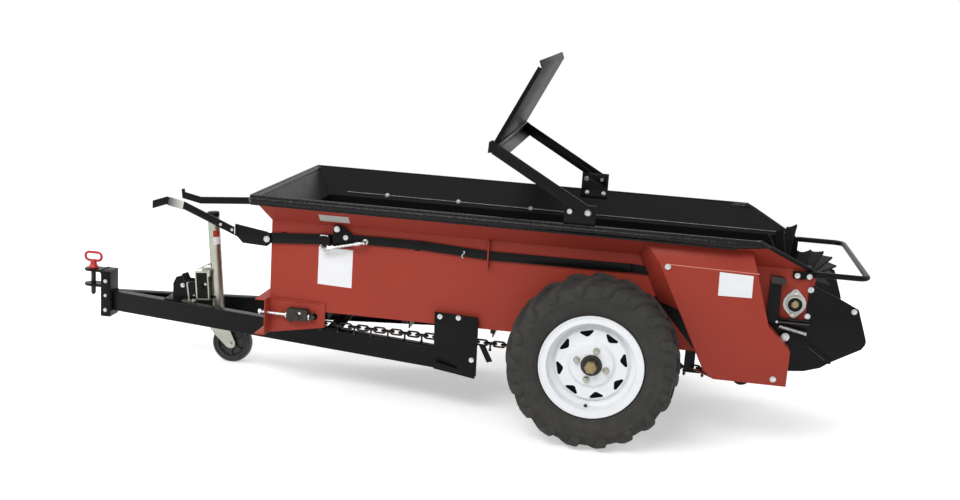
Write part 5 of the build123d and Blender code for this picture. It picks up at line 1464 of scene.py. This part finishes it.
    def underside(self):
        """Hangers, stops and braces that show between the box and the tongue."""
        under = [
            (block, (-340, 290, 240), (-305, 300, 318)), (block, (-371, 283, 241), (-302, 303, 247)),
            (block, (-309, 283, 228), (-304, 303, 243)), (block, (-371, 283, 228), (-366, 303, 243)),
            (block, (664, 298, 307), (682, 308, 320)), (block, (351, 298, 305), (367, 308, 319)),
            (plate, "Y", [(952, 225), (930, 225), (884, 290), (906, 290)], 192, 206),
            (plate, "Y", [(404, 256), (382, 256), (354, 203), (373, 197)], 296, 303),
        ]
        make_piece(
            "underside_steel", "chassis", "black enamel", under, both_sides=True, edge=0.8,
        )


# ---- Labels ---------------------------------------------------------------------------------------------
class MakeLabels(Operator):
    """Blank labels on the wall and drive cover, and a blank plate on the flare"""

    bl_idname = "spreader.make_labels"
    bl_label = "Make Blank Labels"

    def execute(self, context):
        make_piece(
            "blank_labels", "chassis", "blank label",
            [
                (plate, "Y", [(992, 420), (992, 556), (869, 552), (869, 416)], 307.9, 308.6),
                (plate, "Y", [(-386, 620), (-495, 617), (-497, 543), (-388, 541)], 397.9, 398.6),
            ],
            both_sides=True, edge=0.2,
        )
        make_piece(
            "blank_plate", "chassis", "blank plate",
            [(plate, "X", [(325.7, 651), (352.7, 677), (353.3, 676.4), (326.3, 650.4)], 880, 986)], edge=0.15,
        )
        return {"FINISHED"}


# ---- Welds ----------------------------------------------------------------------------------------------
# (finish, path): beads on the left whose like is on the right as well.
WELDS = (
    ("red enamel", ((1166, 314, 354), (1100, 314, 353), (984, 314, 350))),
    ("red enamel", ((1166, 314, 352), (1166, 314, 230))),
    ("black enamel", ((1936, 4, 306), (1936, 35, 306))),
    ("black enamel", ((1936, 4, 314), (1936, 35, 314))),
    ("black enamel", ((1936, 4, 255), (1936, 35, 255))),
    ("black enamel", ((1896, 30, 160), (1896, 30, 233))),
    ("black enamel", ((-40, 286, 319), (40, 286, 319))),
)


class MakeWelds(Operator):
    """Lumpy weld beads along the joins of the frame"""

    bl_idname = "spreader.make_welds"
    bl_label = "Make Welds"

    def execute(self, context):
        tree = self.bead_tree()
        for finish_name, slot in (("red enamel", "red_paint"), ("black enamel", "black_paint")):
            paths = [(path, False) for name, path in WELDS if name == finish_name]
            name = f"{finish_name.split()[0]}_weld_beads"
            grow_piece(name, path_mesh(paths, True), tree, {}, "chassis", finish_name, 60)
        return {"FINISHED"}

    def bead_tree(self):
        """Overlapping drops of uneven size along each path."""
        tree, given = new_tree(
            "weld beads",
            [
                ("Step", "NodeSocketFloat", 0.0032), ("Drop Radius", "NodeSocketFloat", 0.0030),
                ("Seed", "NodeSocketInt", 3), ("Material", "NodeSocketMaterial", None),
            ],
        )
        spots = spots_along(tree, given, given.outputs["Step"])
        drop = place_node(
            tree, "GeometryNodeMeshIcoSphere", {"Radius": given.outputs["Drop Radius"], "Subdivisions": 2}
        ).outputs[0]
        size = place_node(
            tree, "FunctionNodeRandomValue", {2: 0.7, 3: 1.3, "Seed": given.outputs["Seed"]},
            data_type="FLOAT",
        ).outputs[1]
        close_tree(tree, given, copy_to(tree, spots, drop, Scale=size))
        return tree


# ---- Fasteners ------------------------------------------------------------------------------------------
SIDE = Vector((0, 1, 0))
UP = Vector((0, 0, 1))
# Square to the left flare, into the box.
FLARE = Vector((0, -0.693, 0.721))
# (forward, side, height, size): bolts on the left of the chassis whose like is on the right as well.
PAIRED_BOLTS = (
    (543, 334, 354, 0.85), (478, 334, 356, 0.85), (423, 334, 210, 0.85),
    (1916, 38, 275, 0.7), (1916, 38, 218, 0.6), (1916, 38, 160, 0.7),
    (-217, 398, 621, 0.95), (-594, 398, 277, 0.95), (-691, 316.2, 572, 0.95), (-690, 316.2, 481, 0.9),
    (-838, 316.2, 512, 0.9), (-625, 327, 406, 1.3), (-592, 330, 456, 0.4), (-641, 328, 618, 0.85),
    (-680, 328, 618, 0.85), (-644, 328, 558, 0.5), (-640, 328, 484, 0.5), (925, 327, 626, 1.0),
    (894, 322, 598, 0.85), (119, 410, 777, 0.8), (58, 409.8, 777, 1.05), (1603, 33, 290, 0.8),
)
# Bolts that stand alone: (body, forward, side, height, direction, size).
SINGLE_BOLTS = (
    ("chassis", 1178, 323.2, 566, SIDE, 1.05), ("chassis", 1304, 329.2, 589, SIDE, 0.5),
    ("chassis", 1346, 329.2, 604, SIDE, 0.5), ("chassis", 1178, -323.2, 566, -SIDE, 1.05),
    ("chassis", 1553, 45, 236.5, UP, 0.85), ("chassis", 1553, -45, 236.5, UP, 0.85),
    ("jack_fork", 1408.9, 30, 76.1, SIDE, 0.6), ("jack_fork", 1408.9, -30, 76.1, -SIDE, 0.6),
)
# Bolts inside the box, on both sides: (places forward, side, height, direction on the left, size).
INNER_BOLTS = (
    ((897, 610, 323), 315, 650.6, FLARE, 0.8), ((48, 112), 382, 724, FLARE, 0.8),
    ((58, 119), 392, 777, -SIDE, 0.9),
)


class MakeFasteners(Operator):
    """Bolt heads with washers, set square to the surface they hold"""

    bl_idname = "spreader.make_fasteners"
    bl_label = "Make Fasteners"

    def execute(self, context):
        tree = self.bolt_tree()
        groups = {"chassis": [], "jack_fork": []}
        for forward, side, height, size in PAIRED_BOLTS:
            for mirror in (1, -1):
                groups["chassis"].append((at(forward, mirror * side, height), SIDE * mirror, size))
        for body, forward, side, height, out, size in SINGLE_BOLTS:
            groups[body].append((at(forward, side, height), out, size))
        for places, side, height, out, size in INNER_BOLTS:
            for forward in places:
                for mirror in (-1, 1):
                    way = Vector((0, mirror * out.y, out.z))
                    groups["chassis"].append((at(forward, mirror * side, height), way, size))
        for body, bolts in groups.items():
            grow_piece(
                f"{body}_bolts", points_mesh(*zip(*bolts)), tree, {"Head Radius": sizes().bolt_head},
                body, "bright zinc", 30,
            )
        return {"FINISHED"}

    def bolt_tree(self):
        """A washer, a hexagon head and a low crown, turned by chance about the bolt's own axis."""
        tree, given = new_tree(
            "bolt heads",
            [("Head Radius", "NodeSocketFloat", 0.0088), ("Material", "NodeSocketMaterial", None)],
        )
        radius = given.outputs["Head Radius"]
        # (sides, and in shares of the head's radius: radius, thickness and height of the middle)
        discs = []
        for sides, *shares in ((28, 1.22, 0.20, 0.10), (6, 1.0, 0.70, 0.55), (16, 0.66, 0.12, 0.92)):
            wide, thick, centre = (tree_math(tree, "MULTIPLY", radius, share) for share in shares)
            discs.append(moved(tree, cylinder(tree, sides, wide, thick), Translation=vector(tree, Z=centre)))
        out = place_node(tree, "GeometryNodeInputNamedAttribute", {"Name": "out"}, data_type="FLOAT_VECTOR")
        size = place_node(tree, "GeometryNodeInputNamedAttribute", {"Name": "size"}, data_type="FLOAT")
        square = place_node(
            tree, "FunctionNodeAlignRotationToVector", {"Vector": out.outputs[0]}, axis="Z"
        ).outputs[0]
        chance = place_node(
            tree, "FunctionNodeRandomValue", {"Min": 0.0, "Max": 2 * pi, "Seed": 7}, data_type="FLOAT"
        ).outputs[1]
        turn = own_turn(tree, square, vector(tree, Z=chance))
        head = join(tree, *discs)
        close_tree(
            tree, given,
            copy_to(tree, given.outputs["Geometry"], head, Rotation=turn, Scale=size.outputs[0]),
        )
        return tree


# ---- Studio ---------------------------------------------------------------------------------------------
class MakeStage(Operator):
    """Pale floor, soft lights, white surround and the camera"""

    bl_idname = "spreader.make_stage"
    bl_label = "Make Stage"

    # Where the camera stands, from the axle, and how it is turned: heading, downward tilt and roll.
    camera_place = (-158.24, 4362.22, 1451.36)
    heading = 0.1422
    tilt = 0.2056
    roll = 0.067
    # (place, point aimed at, width, height, power)
    lamps = (
        ((0.9, 3.6, 3.6), (0.2, 0.0, 0.5), 3.2, 1.6, 120.0),
        ((4.6, 1.6, 2.6), (0.3, 0.0, 0.5), 1.6, 2.0, 45.0),
        ((-4.2, 0.6, 3.2), (-0.4, 0.0, 0.5), 2.0, 2.0, 35.0),
        ((0.0, -3.0, 4.2), (0.0, 0.0, 0.7), 4.0, 1.4, 70.0),
    )
    # Half the floor's width, and how far from the middle it starts and ends its fade into the white.
    floor_half = 30
    fade = (2.4, 4.6)
    paper_white = 0.86
    paper_glow = 0.45
    surround_light = 0.55

    def execute(self, context):
        scene = context.scene
        scene.view_settings.view_transform = "Standard"
        self.camera(scene)
        self.floor()
        self.world(scene)
        for number, (place, aim, wide, high, power) in enumerate(self.lamps):
            lamp = bpy.data.lights.new(f"softbox {number + 1}", "AREA")
            lamp.shape = "RECTANGLE"
            lamp.size, lamp.size_y, lamp.energy = wide, high, power
            holder = bpy.data.objects.new(lamp.name, lamp)
            holder.location = place
            holder.rotation_euler = (Vector(aim) - Vector(place)).to_track_quat("-Z", "Y").to_euler()
            scene.collection.objects.link(holder)
        return {"FINISHED"}

    def camera(self, scene):
        """Stands the camera to the machine's left and turns it by heading, tilt and roll."""
        ahead = Vector((sin(self.heading), -cos(self.heading), 0))
        down = Vector((0, 0, -1))
        right = Vector((-cos(self.heading), -sin(self.heading), 0))
        look = cos(self.tilt) * ahead + sin(self.tilt) * down
        lower = cos(self.tilt) * down - sin(self.tilt) * ahead
        across = cos(self.roll) * right - sin(self.roll) * lower
        under = sin(self.roll) * right + cos(self.roll) * lower
        turn = Matrix((across, -under, -look)).transposed()
        lens = bpy.data.cameras.new("camera")
        lens.lens = sizes().camera_lens
        lens.sensor_width = 36
        camera = bpy.data.objects.new("camera", lens)
        camera.matrix_world = Matrix.Translation(at(*self.camera_place)) @ turn.to_4x4()
        scene.collection.objects.link(camera)
        scene.camera = camera

    def floor(self):
        """A pale floor that takes the shadow and fades into the white surround."""
        bm = bmesh.new()
        bmesh.ops.create_grid(bm, x_segments=1, y_segments=1, size=self.floor_half)
        floor = new_object("floor", kept_mesh(bm, "floor"))
        paper = bpy.data.materials.new("floor paper")
        paper.use_nodes = True
        tree = paper.node_tree
        tree.nodes.clear()
        matt = place_node(tree, "ShaderNodeBsdfDiffuse", {"Color": (*[self.paper_white] * 3, 1)})
        glow = place_node(tree, "ShaderNodeEmission", {"Color": (1, 1, 1, 1), "Strength": self.paper_glow})
        both = place_node(tree, "ShaderNodeAddShader", {0: matt.outputs[0], 1: glow.outputs[0]})
        white = place_node(tree, "ShaderNodeEmission", {"Color": (1, 1, 1, 1), "Strength": 1.0})
        place = place_node(tree, "ShaderNodeTexCoord").outputs["Object"]
        away = place_node(tree, "ShaderNodeVectorMath", {0: place}, operation="LENGTH").outputs["Value"]
        share = stretch(tree, away, self.fade, interpolation_type="SMOOTHSTEP")
        shown = place_node(tree, "ShaderNodeMixShader", {0: share, 1: both.outputs[0], 2: white.outputs[0]})
        rays = place_node(tree, "ShaderNodeLightPath")
        seen = tree_math(tree, "MAXIMUM", rays.outputs["Is Camera Ray"], rays.outputs["Is Glossy Ray"])
        choice = place_node(
            tree, "ShaderNodeMixShader", {0: seen, 1: matt.outputs[0], 2: shown.outputs[0]}
        )
        place_node(tree, "ShaderNodeOutputMaterial", {"Surface": choice.outputs[0]})
        floor.data.materials.append(paper)

    def world(self, scene):
        """White to the camera and in the shine, and dimmer where it lights the machine."""
        world = bpy.data.worlds.new("white surround")
        world.use_nodes = True
        tree = world.node_tree
        tree.nodes.clear()
        light = place_node(
            tree, "ShaderNodeBackground", {"Color": (1, 1, 1, 1), "Strength": self.surround_light}
        )
        white = place_node(tree, "ShaderNodeBackground", {"Color": (1, 1, 1, 1), "Strength": 1.0})
        rays = place_node(tree, "ShaderNodeLightPath")
        seen = tree_math(tree, "MAXIMUM", rays.outputs["Is Camera Ray"], rays.outputs["Is Transmission Ray"])
        seen = tree_math(tree, "MAXIMUM", seen, rays.outputs["Is Glossy Ray"])
        choice = place_node(
            tree, "ShaderNodeMixShader", {0: seen, 1: light.outputs[0], 2: white.outputs[0]}
        )
        place_node(tree, "ShaderNodeOutputWorld", {"Surface": choice.outputs[0]})
        scene.world = world


STEPS = (
    PaintFrame, MakeTyres, MakeWheelTrim, MakeChains, MakePaddles, MakeHitchPin, MakeJackTrim, MakeControls,
    MakeTensioners, MakeRearTrim, MakeLabels, MakeWelds, MakeFasteners, MakeStage,
)


class SpreaderPanel(Panel):
    """Lists the spreader's making steps and settings"""

    bl_idname = "VIEW3D_PT_spreader"
    bl_label = "Manure Spreader"
    bl_space_type = "VIEW_3D"
    bl_region_type = "UI"
    bl_category = "Spreader"

    def draw(self, context):
        layout = self.layout
        for step in STEPS:
            layout.operator(step.bl_idname)
        for group in (context.scene.spreader_sizes, context.scene.spreader_colours):
            box = layout.box()
            for name in group.__annotations__:
                box.prop(group, name)


CLASSES = (SpreaderSizes, SpreaderColours, *STEPS, SpreaderPanel)


def register():
    for item in CLASSES:
        bpy.utils.register_class(item)
    bpy.types.Scene.spreader_sizes = PointerProperty(type=SpreaderSizes)
    bpy.types.Scene.spreader_colours = PointerProperty(type=SpreaderColours)


def unregister():
    del bpy.types.Scene.spreader_colours
    del bpy.types.Scene.spreader_sizes
    for item in reversed(CLASSES):
        bpy.utils.unregister_class(item)


def main():
    register()
    for step in STEPS:
        group, name = step.bl_idname.split(".")
        getattr(getattr(bpy.ops, group), name)()


if __name__ == "__main__":
    main()
